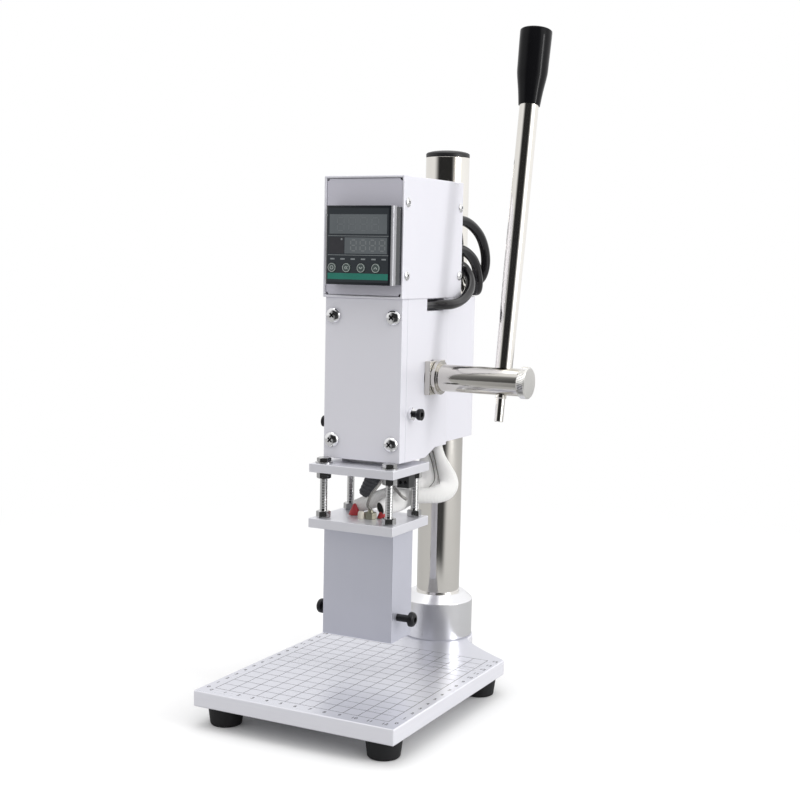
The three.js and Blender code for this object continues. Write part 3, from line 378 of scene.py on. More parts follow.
def settled(piece):
    """The mesh of a piece after its modifiers."""
    graph = bpy.context.evaluated_depsgraph_get()
    return bpy.data.meshes.new_from_object(piece.evaluated_get(graph))


def cut(piece, *tools):
    """Cuts the tools' shapes out of a piece and removes the tools."""
    for tool in tools:
        step = piece.modifiers.new("cut", "BOOLEAN")
        step.operation = "DIFFERENCE"
        step.object = tool
        step.solver = "EXACT"
    mesh = settled(piece)
    piece.modifiers.clear()
    piece.data = mesh
    for tool in tools:
        bpy.data.objects.remove(tool)
    return shaded(piece)


def eased(piece, width_mm, steps=3, angle=30.0):
    """Rounds the edges a little, as a file or a tumbler does."""
    edge = piece.modifiers.new("eased_edges", "BEVEL")
    edge.width = width_mm * MM
    edge.segments = steps
    edge.limit_method = "ANGLE"
    edge.angle_limit = math.radians(angle)
    edge.harden_normals = True
    return piece


def fit(piece, finish, body, *stands_for):
    """Gives a piece its finish and its body, and hides the frame's nodes that it stands for."""
    if piece.data.materials:
        piece.data.materials[0] = finish.material
    else:
        piece.data.materials.append(finish.material)
    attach(piece, body)
    if stands_for:
        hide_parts(*stands_for)
    return piece


def arc(radius, start, end, steps, centre=(0.0, 0.0)):
    """Points of an arc, with the angles in degrees."""
    turns = [math.radians(start + (end - start) * i / steps) for i in range(steps + 1)]
    return [(centre[0] + radius * math.cos(t), centre[1] + radius * math.sin(t)) for t in turns]


def drawn_in(first, pull, last, steps):
    """Points of a curve from the first to the last that leaves and arrives towards a third point."""
    points = []
    for i in range(steps + 1):
        t = i / steps
        ends = zip(first, pull, last)
        points.append(tuple((1 - t) ** 2 * a + 2 * t * (1 - t) * b + t * t * c for a, b, c in ends))
    return points


plate_low, plate_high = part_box("base_plate")
plate_back = COLUMN_AXIS.y + PLATE_BACK_MM * MM
right_corner, left_corner = (plate_high.x, plate_back), (plate_low.x, plate_back)
tail_radius = plate_high.y - COLUMN_AXIS.y
tail_right, tail_left = COLUMN_AXIS.x + tail_radius, COLUMN_AXIS.x - tail_radius
waist = COLUMN_AXIS.y - TAIL_WAIST_MM * MM
plate_outline = [(plate_low.x, plate_low.y), (plate_high.x, plate_low.y), right_corner]
plate_outline += drawn_in(right_corner, (tail_right, waist), (tail_right, COLUMN_AXIS.y), BEND_STEPS)[1:-1]
plate_outline += arc(tail_radius, 0, 180, TAIL_STEPS, COLUMN_AXIS[:2])
plate_outline += drawn_in((tail_left, COLUMN_AXIS.y), (tail_left, waist), left_corner, BEND_STEPS)[1:]
table_plate = prism("table_plate", plate_outline, plate_low.z, plate_high.z)
bolt_hole = pin("bolt_hole", BOLT_HOLE_MM * MM, -MM, BOLT_HOLE_DEPTH_MM * MM, 32)
cut(table_plate, placed(bolt_hole, (COLUMN_AXIS.x, COLUMN_AXIS.y, plate_low.z)))
eased(table_plate, PLATE_EDGE_MM)
table_metal = Finish("table_aluminium", "table_plate", metallic=0.55)
haze = table_metal.speckle(0.012)
brushing = table_metal.speckle(0.5, (0.06, 1, 1), 4.0)
table_metal.grained(haze, (0.67, 0.675, 0.74), (0.73, 0.735, 0.795))
table_metal.coat(roughness=0.21 + brushing * 0.1 + haze * 0.06)
table_metal.relief(brushing, 0.004)
edge_metal = Finish("table_edge_aluminium", "table_plate", metallic=0.1)
edge_lines = edge_metal.speckle(0.5, (0.06, 0.06, 1), 4.0)
edge_metal.grained(edge_lines, (0.80, 0.80, 0.86), (0.86, 0.86, 0.91), (0.2, 0.1))
fit(table_plate, table_metal, "base", "base_plate")
table_plate.data.materials.append(edge_metal.material)
for face in table_plate.data.polygons:
    if abs(face.normal.z) < UPRIGHT_FACE:
        face.material_index = 1


# The grid is engraved in the table and filled with dark paint: squares of ten millimetres, twelve
# across and fourteen deep, with plain numbers in front and at both sides.
GRID_LEFT_MM, GRID_FRONT_MM = -60.0, -186.0
SQUARE_MM = 10.0
SQUARES_ACROSS, SQUARES_DEEP = 12, 14
LINE_MM, LINE_PROUD_MM = 0.36, 0.02
LOWER_LINE_SHARE = 0.9
NUMBER_SIZE_MM, FATTER_MM = 4.1, 0.07
NUMBERS_IN_FRONT_MM, NUMBERS_BESIDE_MM, NUMBERS_UP_MM = 4.4, 5.2, 0.01


def boxes(name, pairs):
    """Many upright boxes in one piece, each from its lowest to its highest corner."""
    corners, faces = [], []
    for (x0, y0, z0), (x1, y1, z1) in pairs:
        n = len(corners)
        corners += [(x0, y0, z0), (x1, y0, z0), (x1, y1, z0), (x0, y1, z0)]
        corners += [(x0, y0, z1), (x1, y0, z1), (x1, y1, z1), (x0, y1, z1)]
        faces += [(n + 3, n + 2, n + 1, n), (n + 4, n + 5, n + 6, n + 7), (n, n + 1, n + 5, n + 4)]
        faces += [(n + 1, n + 2, n + 6, n + 5), (n + 2, n + 3, n + 7, n + 6), (n + 3, n, n + 4, n + 7)]
    return shown(name, meshed(name, corners, faces))


def strip(left, front, right, back, proud_mm):
    """A line of the grid between its edges, in millimetres."""
    half = LINE_MM / 2
    return spot(left - half, front - half, 0), spot(right + half, back + half, proud_mm)


columns = [GRID_LEFT_MM + i * SQUARE_MM for i in range(SQUARES_ACROSS + 1)]
rows = [GRID_FRONT_MM + i * SQUARE_MM for i in range(SQUARES_DEEP + 1)]
strips = [strip(x, rows[0], x, rows[-1], LINE_PROUD_MM) for x in columns]
strips += [strip(columns[0], y, columns[-1], y, LINE_PROUD_MM * LOWER_LINE_SHARE) for y in rows]
engraving = Finish("engraving_paint", "table_plate", roughness=0.55)
engraving.grained(0.3, (0.025, 0.025, 0.03), (0.07, 0.07, 0.08))
fit(boxes("grid_lines", strips), engraving, "base")


def printed(name, items, size_mm, thickness_mm):
    """One piece with several printed words, flat and centred. Each item is the text and its place."""
    sheet = bmesh.new()
    for text, place in items:
        curve = bpy.data.curves.new(name, "FONT")
        curve.body = text
        curve.size = size_mm * MM
        curve.extrude = thickness_mm * MM / 2
        curve.align_x = "CENTER"
        curve.align_y = "CENTER"
        curve.resolution_u = 3
        curve.offset = FATTER_MM * MM
        drawn = shown(name, curve)
        mesh = settled(drawn)
        bpy.data.objects.remove(drawn)
        mesh.transform(Matrix.Translation(place))
        sheet.from_mesh(mesh)
        bpy.data.meshes.remove(mesh)
    mesh = bpy.data.meshes.new(name)
    sheet.to_mesh(mesh)
    sheet.free()
    return shown(name, mesh)


numbers = []
for i, x in enumerate(columns):
    numbers.append((str(i), spot(x, rows[0] - NUMBERS_IN_FRONT_MM, NUMBERS_UP_MM)))
for i, y in enumerate(rows):
    for x in (columns[0] - NUMBERS_BESIDE_MM, columns[-1] + NUMBERS_BESIDE_MM):
        numbers.append((str(i), spot(x, y, NUMBERS_UP_MM)))
fit(printed("grid_numbers", numbers, NUMBER_SIZE_MM, LINE_PROUD_MM), engraving, "base")


# Four tapered rubber feet. Each has a moulded well in its lower face with the head of the screw that
# holds it to the plate.
FOOT_EDGE_MM, FOOT_TAPER_SHARE = 1.1, 0.858
FOOT_WELL_MM, FOOT_WELL_DEPTH_MM = 4.2, 6.0
SCREW_HEAD_MM, SCREW_RIM_MM, SCREW_FACE_MM, SCREW_TALL_MM, SCREW_BEVEL_MM = 3.4, 3.2, 1.6, 2.0, 0.8
foot_rubber = Finish("foot_rubber", "foot_rubber", specular_ior_level=0.3)
foot_rubber.grained(2.2, (0.012, 0.012, 0.013), (0.022, 0.022, 0.024), (0.5, 0.2), 0.03)
screw_steel = Finish("foot_screw_steel", "plain_steel", metallic=1.0, roughness=0.35)
screw_steel.grained(1.0, (0.38, 0.38, 0.38), (0.5, 0.5, 0.5))
well_radius, well_top = FOOT_WELL_MM * MM, FOOT_WELL_DEPTH_MM * MM
head_low = well_top - SCREW_TALL_MM * MM
for place in ("front_left", "front_right", "rear_left", "rear_right"):
    low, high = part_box("foot_" + place)
    centre = ((low.x + high.x) / 2, (low.y + high.y) / 2, low.z)
    tall = high.z - low.z
    top_radius = (high.x - low.x) / 2
    foot = turned("rubber_foot_" + place, [
        (0, well_top), (well_radius, well_top), (well_radius, 0), (top_radius * FOOT_TAPER_SHARE, 0),
        (top_radius, tall), (0, tall),
    ])
    eased(placed(foot, centre), FOOT_EDGE_MM, 4)
    fit(foot, foot_rubber, "base", "foot_" + place)
    screw = turned("foot_screw_" + place, [
        (0, head_low), (SCREW_FACE_MM * MM, head_low), (SCREW_RIM_MM * MM, head_low + SCREW_BEVEL_MM * MM),
        (SCREW_HEAD_MM * MM, well_top), (0, well_top),
    ], 24)
    fit(placed(screw, centre), screw_steel, "base")


# The column's collar is turned from aluminium, with a wide bevel at its top and a fine groove where it
# meets the table. The bolt below clamps it to the plate.
COLLAR_BEVEL_MM, COLLAR_TOP_RADIUS_MM = 5.5, 18.5
COLLAR_SEAM_MM, COLLAR_GAP_MM = 0.5, 0.08


def dress(finish, *nodes):
    """Gives a finish to solids of the frame that stay as they are."""
    for node in nodes:
        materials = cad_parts[node].data.materials
        materials.clear()
        materials.append(finish.material)


turned_metal = Finish("turned_aluminium", "turned_aluminium", metallic=1.0)
lathe_marks = turned_metal.speckle(0.9, (0.03, 0.03, 1), 3.0)
turned_metal.grained(0.05, (0.84, 0.84, 0.86), (0.90, 0.90, 0.92))
turned_metal.coat(roughness=0.2 + lathe_marks * 0.08)
turned_metal.relief(lathe_marks, 0.006)
low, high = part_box("column_collar")
collar_radius = (high.x - low.x) / 2
collar_tall = high.z - low.z
column_low, column_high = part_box("column")
column_radius = (column_high.x - column_low.x) / 2
collar_bore = column_radius + COLLAR_GAP_MM * MM
seam = COLLAR_SEAM_MM * MM
collar = turned("collar", [
    (collar_bore, 0), (collar_radius - seam, 0), (collar_radius - seam, seam), (collar_radius, seam * 1.4),
    (collar_radius, collar_tall - COLLAR_BEVEL_MM * MM), (COLLAR_TOP_RADIUS_MM * MM, collar_tall),
    (collar_bore, collar_tall), (collar_bore, 0),
], 96)
eased(placed(collar, (COLUMN_AXIS.x, COLUMN_AXIS.y, low.z)), 0.25, 2)
fit(collar, turned_metal, "base", "column_collar")
dress(screw_steel, "column_bolt")


# The column is a tube of thirty millimetres, nickel plated and polished, with a black plastic cap
# pressed into its top.
COLUMN_WALL_MM = 2.5
CAP_RIM_MM, CAP_GAP_MM, CAP_DOME_STEPS = 2.2, 0.1, 8
nickel = Finish("polished_nickel", "polished_steel", metallic=1.0)
nickel.grained(0.03, (0.80, 0.77, 0.72), (0.86, 0.84, 0.80), (0.06, 0.05))
nickel.relief(nickel.speckle(1.2, (1, 1, 0.02), 2.0), 0.001)
bore = column_radius - COLUMN_WALL_MM * MM
tall = column_high.z - column_low.z
column = turned("column_tube", [
    (bore, 0), (column_radius, 0), (column_radius, tall), (bore, tall), (bore, 0),
], 128)
eased(placed(column, (COLUMN_AXIS.x, COLUMN_AXIS.y, column_low.z)), 0.4, 2)
fit(column, nickel, "column", "column")
low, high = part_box("column_cap")
plug = bore - CAP_GAP_MM * MM
rim_top = column_high.z + CAP_RIM_MM * MM
cap_outline = [(0, low.z), (plug, low.z), (plug, column_high.z), (column_radius, column_high.z)]
for i in range(CAP_DOME_STEPS):
    turn = math.pi / 2 * i / CAP_DOME_STEPS
    cap_outline.append((column_radius * math.cos(turn), rim_top + (high.z - rim_top) * math.sin(turn)))
cap_outline.append((0, high.z))
cap = turned("cap", cap_outline, 96)
eased(placed(cap, (COLUMN_AXIS.x, COLUMN_AXIS.y, 0)), 0.35, 3)
cap_black = Finish("cap_black", "black_plastic")
cap_black.grained(2.0, (0.006, 0.006, 0.007), (0.010, 0.010, 0.011), (0.4, 0.12))
fit(cap, cap_black, "column", "column_cap")


# The head is an aluminium casting, milled and sprayed a satin silver. A round clamp at its back grips
# the column, a channel in front holds the ram, and a plain cover closes that channel. The cutting tools
# reach BEYOND_MM past what they cut.
SIDE_END_MM, CLAMP_RADIUS_MM, CORNER_MM = -45.0, 21.1, 6.0
UNDERCUT_MM, UNDERCUT_START_MM, UNDERCUT_END_MM = 5.1, -80.0, -66.0
WELL_DEPTH_MM, WELL_FRONT_MM, WELL_BACK_MM = 7.4, -82.0, -58.0
WELL_RIGHT_MM, WELL_LEFT_MM = 7.8, 15.6
DUCT_PLACE_MM, DUCT_RADIUS_MM = (19.5, -51.5), 5.6
PINION_PLACE_MM, SHAFT_HOLE_MM = (-73.0, 188.7), 11.05
CHANNEL_ROOF_MM, CHANNEL_BEHIND_MM, CHANNEL_GAP_MM, BORE_GAP_MM = 6.0, 0.6, 0.3, 0.1
COVER_GAP_MM = 0.06
BEYOND_MM, LONG_TOOL_MM = 5.0, 300.0


def sprayed(name, first, second):
    """A satin paint with metal flakes, between two colours."""
    paint = Finish(name, "silver_housing", metallic=0.14)
    flake = paint.speckle(2.4, detail=2.0)
    paint.coat(roughness=0.36 + flake * 0.1)
    paint.relief(flake, 0.006)
    return paint.grained(0.02, first, second)


satin_silver = sprayed("satin_silver", (0.80, 0.795, 0.86), (0.84, 0.835, 0.89))
body_low, body_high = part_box("head_body")
side = (body_high.x - body_low.x) / 2
clamp = CLAMP_RADIUS_MM * MM
corner = CORNER_MM * MM
side_end = SIDE_END_MM * MM
beyond = BEYOND_MM * MM
front_edge = body_low.y - COLUMN_AXIS.y
outline = [(-side, front_edge), (side, front_edge)]
outline += arc(corner, 0, 90, 8, (side - corner, side_end - corner))
outline += [(clamp, side_end)] + arc(clamp, 0, 180, 64) + [(-clamp, side_end)]
outline += arc(corner, 90, 180, 8, (corner - side, side_end - corner))
outline = [(x + COLUMN_AXIS.x, y + COLUMN_AXIS.y) for x, y in outline]
head = prism("head_casting", outline, body_low.z, body_high.z)
clamp_end = CLAMP_RADIUS_MM + BEYOND_MM
under = [
    (UNDERCUT_START_MM, -BEYOND_MM), (UNDERCUT_START_MM, 0.0), (UNDERCUT_END_MM, UNDERCUT_MM),
    (clamp_end, UNDERCUT_MM), (clamp_end, -BEYOND_MM),
]
corners = [
    (COLUMN_AXIS.x + x, COLUMN_AXIS.y + y * MM, body_low.z + z * MM)
    for x in (-side - beyond, side + beyond) for y, z in under
]
tools = [made("undercut", corners, ringed(len(under), 2))]
bore_tool = pin("bore", column_radius + BORE_GAP_MM * MM, 0, LONG_TOOL_MM * MM, 96)
tools.append(placed(bore_tool, (COLUMN_AXIS.x, COLUMN_AXIS.y, body_low.z - 10 * beyond)))
ram_low, ram_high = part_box("ram_bar")
tools.append(block(
    "channel", (ram_low.x - CHANNEL_GAP_MM * MM, body_low.y - beyond, body_low.z - beyond),
    (
        ram_high.x + CHANNEL_GAP_MM * MM, ram_high.y + CHANNEL_BEHIND_MM * MM,
        body_high.z - CHANNEL_ROOF_MM * MM,
    ),
))
for sign, deep in ((1, WELL_RIGHT_MM), (-1, WELL_LEFT_MM)):
    inner = COLUMN_AXIS.x + sign * (side - WELL_DEPTH_MM * MM)
    outer = COLUMN_AXIS.x + sign * (side + beyond)
    tools.append(block(
        "well", (min(inner, outer), COLUMN_AXIS.y + WELL_FRONT_MM * MM, body_high.z - deep * MM),
        (max(inner, outer), COLUMN_AXIS.y + WELL_BACK_MM * MM, body_high.z + beyond),
    ))
tools.append(placed(pin("duct", DUCT_RADIUS_MM * MM, 0, LONG_TOOL_MM * MM, 32), spot(*DUCT_PLACE_MM, 100)))
pinion_spot = spot(0, *PINION_PLACE_MM)
shaft_hole = pin("shaft_hole", SHAFT_HOLE_MM * MM, 0, 10 * beyond, 48)
tools.append(placed(shaft_hole, pinion_spot, (1, 0, 0)))
bush_low, bush_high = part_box("bush_left")
bush_hole = pin("bush_hole", (bush_high.y - bush_low.y) / 2, 0, 10 * beyond, 48)
tools.append(placed(bush_hole, pinion_spot, (-1, 0, 0)))
cut(head, *tools)
eased(head, 0.5)
fit(head, satin_silver, "head", "head_body")
cover_low, cover_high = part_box("front_cover")
cover = block("head_cover", cover_low, cover_high - Vector((0, COVER_GAP_MM * MM, 0)))
fit(eased(cover, 0.45), satin_silver, "head", "front_cover")


# The cover's four pan head screws and the box's side screws are chrome plated, with a cross recess whose
# deeper faces are painted dark: painted shade, where the light does not reach.
CROSS_WIDE_MM, CROSS_LONG_MM, CROSS_DEEP_MM = 1.15, 5.0, 1.9
CROSS_FOOT_WIDE_SHARE, CROSS_FOOT_LONG_SHARE = 0.7, 0.45
PAN_STEPS, PAN_SUNK_MM, PAN_RIM_SHARE = 8, 0.5, 0.25
PAN_TAPER_SHARE, PAN_ROUND_POWER = 0.16, 0.55
PAINTED_SHADE_REACH_SHARE, PAINTED_SHADE_BELOW_MM = 0.7, 0.25
chrome = Finish("chrome_plate", "chrome_screws", metallic=1.0)
chrome.grained(0.4, (0.80, 0.80, 0.81), (0.88, 0.88, 0.89), (0.07, 0.06))
# Painted shade for the faces deep in the cross recess: a dull, nearly black chrome.
recess_painted_shade = Finish("screw_recess_painted_shade", "chrome_screws", metallic=1.0, roughness=0.5)
recess_painted_shade.grained(1.0, (0.05, 0.05, 0.05), (0.1, 0.1, 0.1))


def pan_screw(name, radius, tall, cross=1.0):
    """A domed head on the plane of Z zero that looks along +Z, with a cross recess."""
    profile = [(0, -PAN_SUNK_MM * MM), (radius, -PAN_SUNK_MM * MM)]
    for i in range(PAN_STEPS + 1):
        turn = math.pi / 2 * i / PAN_STEPS
        rim = math.cos(turn) ** PAN_ROUND_POWER if i < PAN_STEPS else 0
        rim *= radius * (1 - PAN_TAPER_SHARE * math.sin(turn))
        profile.append((rim, tall * (PAN_RIM_SHARE + (1 - PAN_RIM_SHARE) * math.sin(turn))))
    head_shape = turned(name, profile, 48)
    slots = []
    for quarter in (45, 135):
        wide, long = CROSS_WIDE_MM * cross / 2 * MM, CROSS_LONG_MM * cross / 2 * MM
        deep = tall - CROSS_DEEP_MM * cross * MM
        outline = [(-long, -wide), (long, -wide), (long, wide), (-long, wide)]
        slot = prism("slot", outline, deep, tall + MM)
        for corner in slot.data.vertices:
            if corner.co.z < deep + 0.01 * MM:
                corner.co.x *= CROSS_FOOT_LONG_SHARE
                corner.co.y *= CROSS_FOOT_WIDE_SHARE
        slot.data.transform(Matrix.Rotation(math.radians(quarter), 4, "Z"))
        slots.append(slot)
    cut(head_shape, *slots)
    eased(head_shape, 0.07, 2)
    head_shape.data.materials.append(chrome.material)
    head_shape.data.materials.append(recess_painted_shade.material)
    # Faces deep in the cross recess get the painted shade.
    for face in head_shape.data.polygons:
        reach = math.hypot(face.center.x, face.center.y) / radius
        dome = math.sqrt(max(1 - reach ** 3, 0))
        dome = tall * (PAN_RIM_SHARE + (1 - PAN_RIM_SHARE) * dome)
        if reach < PAINTED_SHADE_REACH_SHARE and 0 < face.center.z < dome - PAINTED_SHADE_BELOW_MM * MM * cross:
            face.material_index = 1
    return head_shape


cover_face = cover_low.y
for row in ("low", "high"):
    for hand in ("left", "right"):
        name = f"cover_screw_{row}_{hand}"
        low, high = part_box(name)
        screw = pan_screw("pan_" + name, (high.x - low.x) / 2, cover_face - low.y)
        placed(screw, ((low.x + high.x) / 2, cover_face, (low.z + high.z) / 2), (0, -1, 0))
        fit(screw, chrome, "head", name)


# The control box is a folded sheet shell, sprayed like the head, with a panel let into each end. The
# front panel sits a little inside the folded edges, which leave a small dark relief at each corner.
SHEET_MM, FOLD_MM = 1.6, 0.7
PANEL_INSET_MM = 0.9
GLANDS = ("upper", "middle", "lower", "mains")
RELIEF_RADIUS_MM, GLAND_HOLE_MM, WINDOW_EDGE_MM = 1.5, 3.9, 1.3
SIDE_SCREW_RADIUS_MM, SIDE_SCREW_TALL_MM, SIDE_SCREW_CROSS_SHARE = 3.1, 1.3, 0.62
SIDE_SCREWS_MM = [(back, up) for back in (-113.0, -37.5) for up in (298.0, 253.5)]
shell_low, shell_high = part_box("box_shell")
case_low, case_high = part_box("controller_case")
shell = block("box_folded_shell", shell_low, shell_high)
sheet = SHEET_MM * MM
hollow_low, hollow_high = Vector((sheet, -beyond, sheet)), Vector((-sheet, beyond, -sheet))
cut(shell, block("hollow", shell_low + hollow_low, shell_high + hollow_high))
fit(eased(shell, FOLD_MM, 4), satin_silver, "head", "box_shell")
panel_silver = sprayed("panel_silver", (0.63, 0.62, 0.70), (0.67, 0.66, 0.735))
inset, window_edge = PANEL_INSET_MM * MM, WINDOW_EDGE_MM * MM
for end, node in (("front", "box_front_panel"), ("rear", "box_rear_panel")):
    low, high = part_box(node)
    if end == "front":
        low.y += inset
    else:
        high.y -= inset
    panel = block("panel_" + end, low, high)
    holes = [(RELIEF_RADIUS_MM, 24, x, z) for x in (low.x, high.x) for z in (low.z, high.z)]
    if end == "rear":
        for gland in GLANDS:
            g_low, g_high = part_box("gland_" + gland)
            holes.append((GLAND_HOLE_MM, 32, (g_low.x + g_high.x) / 2, (g_low.z + g_high.z) / 2))
    tools = []
    for radius_mm, sides, x, z in holes:
        hole = pin("hole", radius_mm * MM, 0, 4 * beyond, sides)
        tools.append(placed(hole, (x, low.y - 2 * beyond, z), (0, 1, 0)))
    if end == "front":
        tools.append(block(
            "window", (case_low.x + window_edge, low.y - beyond, case_low.z + window_edge),
            (case_high.x - window_edge, high.y + beyond, case_high.z - window_edge),
        ))
    cut(panel, *tools)
    fit(eased(panel, 0.15, 2), panel_silver, "head", node)
for hand, sign, face in (("right", 1, shell_high.x), ("left", -1, shell_low.x)):
    for number, (back, up) in enumerate(SIDE_SCREWS_MM):
        radius, tall = SIDE_SCREW_RADIUS_MM * MM, SIDE_SCREW_TALL_MM * MM
        screw = pan_screw(f"side_screw_{number}_{hand}", radius, tall, SIDE_SCREW_CROSS_SHARE)
        middle = spot(0, back, up)
        fit(placed(screw, (face, middle.y, middle.z), (sign, 0, 0)), chrome, "head")


# The temperature controller: a black case with a front frame of forty-eight millimetres whose sides
# are rounded and carry a painted highlight. A groove parts the frame from the flange behind it.
FRAME_ROUND_MM, FRAME_ROUND_STEPS = 3.0, 10
PAINTED_HIGHLIGHT_TURN = 0.4
KEYS = range(1, 5)
KEY_GAP_MM, KEY_BORE_BACK_MM = 0.15, 3.2
FLANGE_INSET_MM, GROOVE_MM, GROOVE_INSET_MM, REAR_INSET_MM = 0.5, 0.6, 1.4, 1.8
face_low, face_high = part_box("controller_face")
half = (face_high.x - face_low.x) / 2
middle_x = (face_low.x + face_high.x) / 2
fold = FRAME_ROUND_MM * MM
front, back = face_low.y, face_high.y
outline = [(middle_x - half, back), (middle_x - half, front + fold)]
outline += arc(fold, 180, 270, FRAME_ROUND_STEPS, (middle_x - half + fold, front + fold))
outline += arc(fold, 270, 360, FRAME_ROUND_STEPS, (middle_x + half - fold, front + fold))
outline += [(middle_x + half, back)]
face_frame = prism("controller_frame", outline, face_low.z, face_high.z)


def key_bores(gap_mm, back_mm):
    """Tools for the keys' holes, which end behind the frame's face."""
    bores = []
    for number in KEYS:
        low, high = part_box(f"key_{number}")
        bore_tool = pin("hole", (high.x - low.x) / 2 + gap_mm * MM, -2 * beyond, 0, 48)
        place = ((low.x + high.x) / 2, front + back_mm * MM, (low.z + high.z) / 2)
        bores.append(placed(bore_tool, place, (0, 1, 0)))
    return bores


def inset_block(name, low, high, inset_mm, start, end):
    """A block from start to end in depth that is narrower and lower than a box all round."""
    inset = inset_mm * MM
    return block(name, (low.x + inset, start, low.z + inset), (high.x - inset, end, high.z - inset))


case_finish = Finish("controller_moulding", "black_plastic")
case_finish.grained(2.0, (0.010, 0.012, 0.016), (0.018, 0.021, 0.026), (0.08, 0.06))
# Painted highlight on the frame's rounded sides: a paler, partly metallic grey for a reflection.
painted_side_highlight = Finish("frame_side_painted_highlight", "black_plastic", metallic=0.34)
painted_side_highlight.grained(0.3, (0.32, 0.32, 0.34), (0.42, 0.42, 0.44), (0.26, 0.08))
cut(face_frame, *key_bores(KEY_GAP_MM, KEY_BORE_BACK_MM))
fit(eased(face_frame, 0.3, 2), case_finish, "head", "controller_face")
# The faces that turn sideways get the painted highlight.
face_frame.data.materials.append(painted_side_highlight.material)
for face in face_frame.data.polygons:
    if abs(face.normal.x) > PAINTED_HIGHLIGHT_TURN and abs(face.normal.z) < PAINTED_HIGHLIGHT_TURN:
        face.material_index = 1
panel_face = shell_low.y + inset
flange = inset_block("controller_flange", face_low, face_high, FLANGE_INSET_MM, back, panel_face)
groove = inset_block("groove", face_low, face_high, -1.0, back, back + GROOVE_MM * MM)
cut(groove, inset_block("core", face_low, face_high, GROOVE_INSET_MM, back - MM, back + 2 * MM))
cut(flange, groove)
fit(eased(flange, 0.2, 2), case_finish, "head", "controller_case")
black_moulding = Finish("black_moulding", "black_plastic")
black_moulding.grained(3.0, (0.012, 0.013, 0.014), (0.022, 0.023, 0.025), (0.32, 0.14), 0.01)
rear_case = inset_block("controller_rear", case_low, case_high, REAR_INSET_MM, panel_face, case_high.y)
fit(eased(rear_case, 0.6, 2), black_moulding, "head")


# The face is a printed membrane with holes for the keys. It has two display windows and a dark pane,
# all with their left, right, lower and upper edges here, two lines, lamps and a green band.
FACE_MM, MEMBRANE_MM, MEMBRANE_EDGE_MM, MEMBRANE_KEY_GAP_MM = 48.0, 21.0, 1.6, 0.25
DISPLAY_PANES_MM = {"upper": (3.9, 43.8, 30.9, 42.7), "lower": (14.7, 44.0, 18.9, 28.7)}
CORNER_PANE_MM = (3.9, 14.2, 18.9, 28.7)
DIVIDERS_MM, BAND_MM = (29.6, 18.0), (3.2, 7.0)
LAMPS_MM, LAMPS_UP_MM = (6.2, 13.4, 20.6, 27.8, 35.0, 42.0), 15.6
DOTS_MM = [(1.9, 42.1), (12.6, 27.6)]
LAMP_HALF_MM, DOT_HALF_MM, DIVIDER_HALF_MM = (1.5, 0.45), (0.55, 0.55), 0.15
PRINT_SUNK_MM = 0.05


def on_face(left, right, low, high, proud_mm):
    """A thin plate on the controller's face, in millimetres from the frame's left and lower edges."""
    return (
        Vector((face_low.x + left * MM, front - proud_mm * MM, face_low.z + low * MM)),
        Vector((face_low.x + right * MM, front + PRINT_SUNK_MM * MM, face_low.z + high * MM)),
    )


def around(place, halves, proud_mm):
    """A thin plate on the face about its middle."""
    (x, z), (wide, tall) = place, halves
    return on_face(x - wide, x + wide, z - tall, z + tall, proud_mm)


left_edge = half / MM - MEMBRANE_MM
right_edge = FACE_MM - left_edge
sheet_box = on_face(left_edge, right_edge, MEMBRANE_EDGE_MM, FACE_MM - MEMBRANE_EDGE_MM, 0.10)
membrane_sheet = block("controller_membrane", *sheet_box)
cut(membrane_sheet, *key_bores(MEMBRANE_KEY_GAP_MM, BEYOND_MM))
membrane = Finish(
    "display_membrane", "black_plastic", roughness=0.22, coat_weight=0.3, coat_roughness=0.08
)
membrane.grained(0.02, (0.018, 0.024, 0.030), (0.030, 0.037, 0.044))
fit(membrane_sheet, membrane, "head")
# The panes' grey is their dark tint with a painted reflection on top, for the glare on their glass.
pane_with_painted_glare = Finish("display_pane_painted_glare", "black_plastic", roughness=0.12)
pane_with_painted_glare.grained(0.05, (0.10, 0.115, 0.125), (0.155, 0.17, 0.18))
for name, edges in DISPLAY_PANES_MM.items():
    pane = block("display_" + name, *on_face(*edges, 0.16))
    fit(eased(pane, 0.05, 2), pane_with_painted_glare, "head")
dark_pane = Finish("display_dark_pane", "black_plastic", roughness=0.25)
dark_pane.grained(0.4, (0.030, 0.030, 0.036), (0.042, 0.042, 0.048))
fit(block("display_corner", *on_face(*CORNER_PANE_MM, 0.15)), dark_pane, "head")
lines = [
    on_face(left_edge, right_edge, up - DIVIDER_HALF_MM, up + DIVIDER_HALF_MM, 0.13) for up in DIVIDERS_MM
]
lines += [around((x, LAMPS_UP_MM), LAMP_HALF_MM, 0.13) for x in LAMPS_MM]
lines += [around(place, DOT_HALF_MM, 0.2) for place in DOTS_MM]
pale_print = Finish("face_print", "black_plastic", roughness=0.5)
pale_print.grained(0.8, (0.20, 0.22, 0.23), (0.30, 0.32, 0.33))
fit(boxes("face_print_lines", lines), pale_print, "head")
green = Finish("green_band", "black_plastic", roughness=0.35)
green.grained(0.15, (0.012, 0.17, 0.125), (0.02, 0.22, 0.165))
fit(block("face_green_band", *on_face(left_edge, right_edge, *BAND_MM, 0.14)), green, "head")


# The unlit figures of the displays, moulded into the windows: seven bars each, a little paler than
# the pane behind them. Each row has its left edges, its foot, and a figure's width and height.
FIGURE_BAR_MM, FIGURE_PROUD_MM, FIGURE_GAP_SHARE = 0.75, 0.175, 0.25
FIGURE_ROWS_MM = {
    "lower_figures": ((19.0, 25.6, 32.2, 38.8), 20.6, 3.8, 6.6),
    "upper_figures": ((9.5, 17.5, 25.5, 33.5), 32.8, 4.6, 7.8),
}


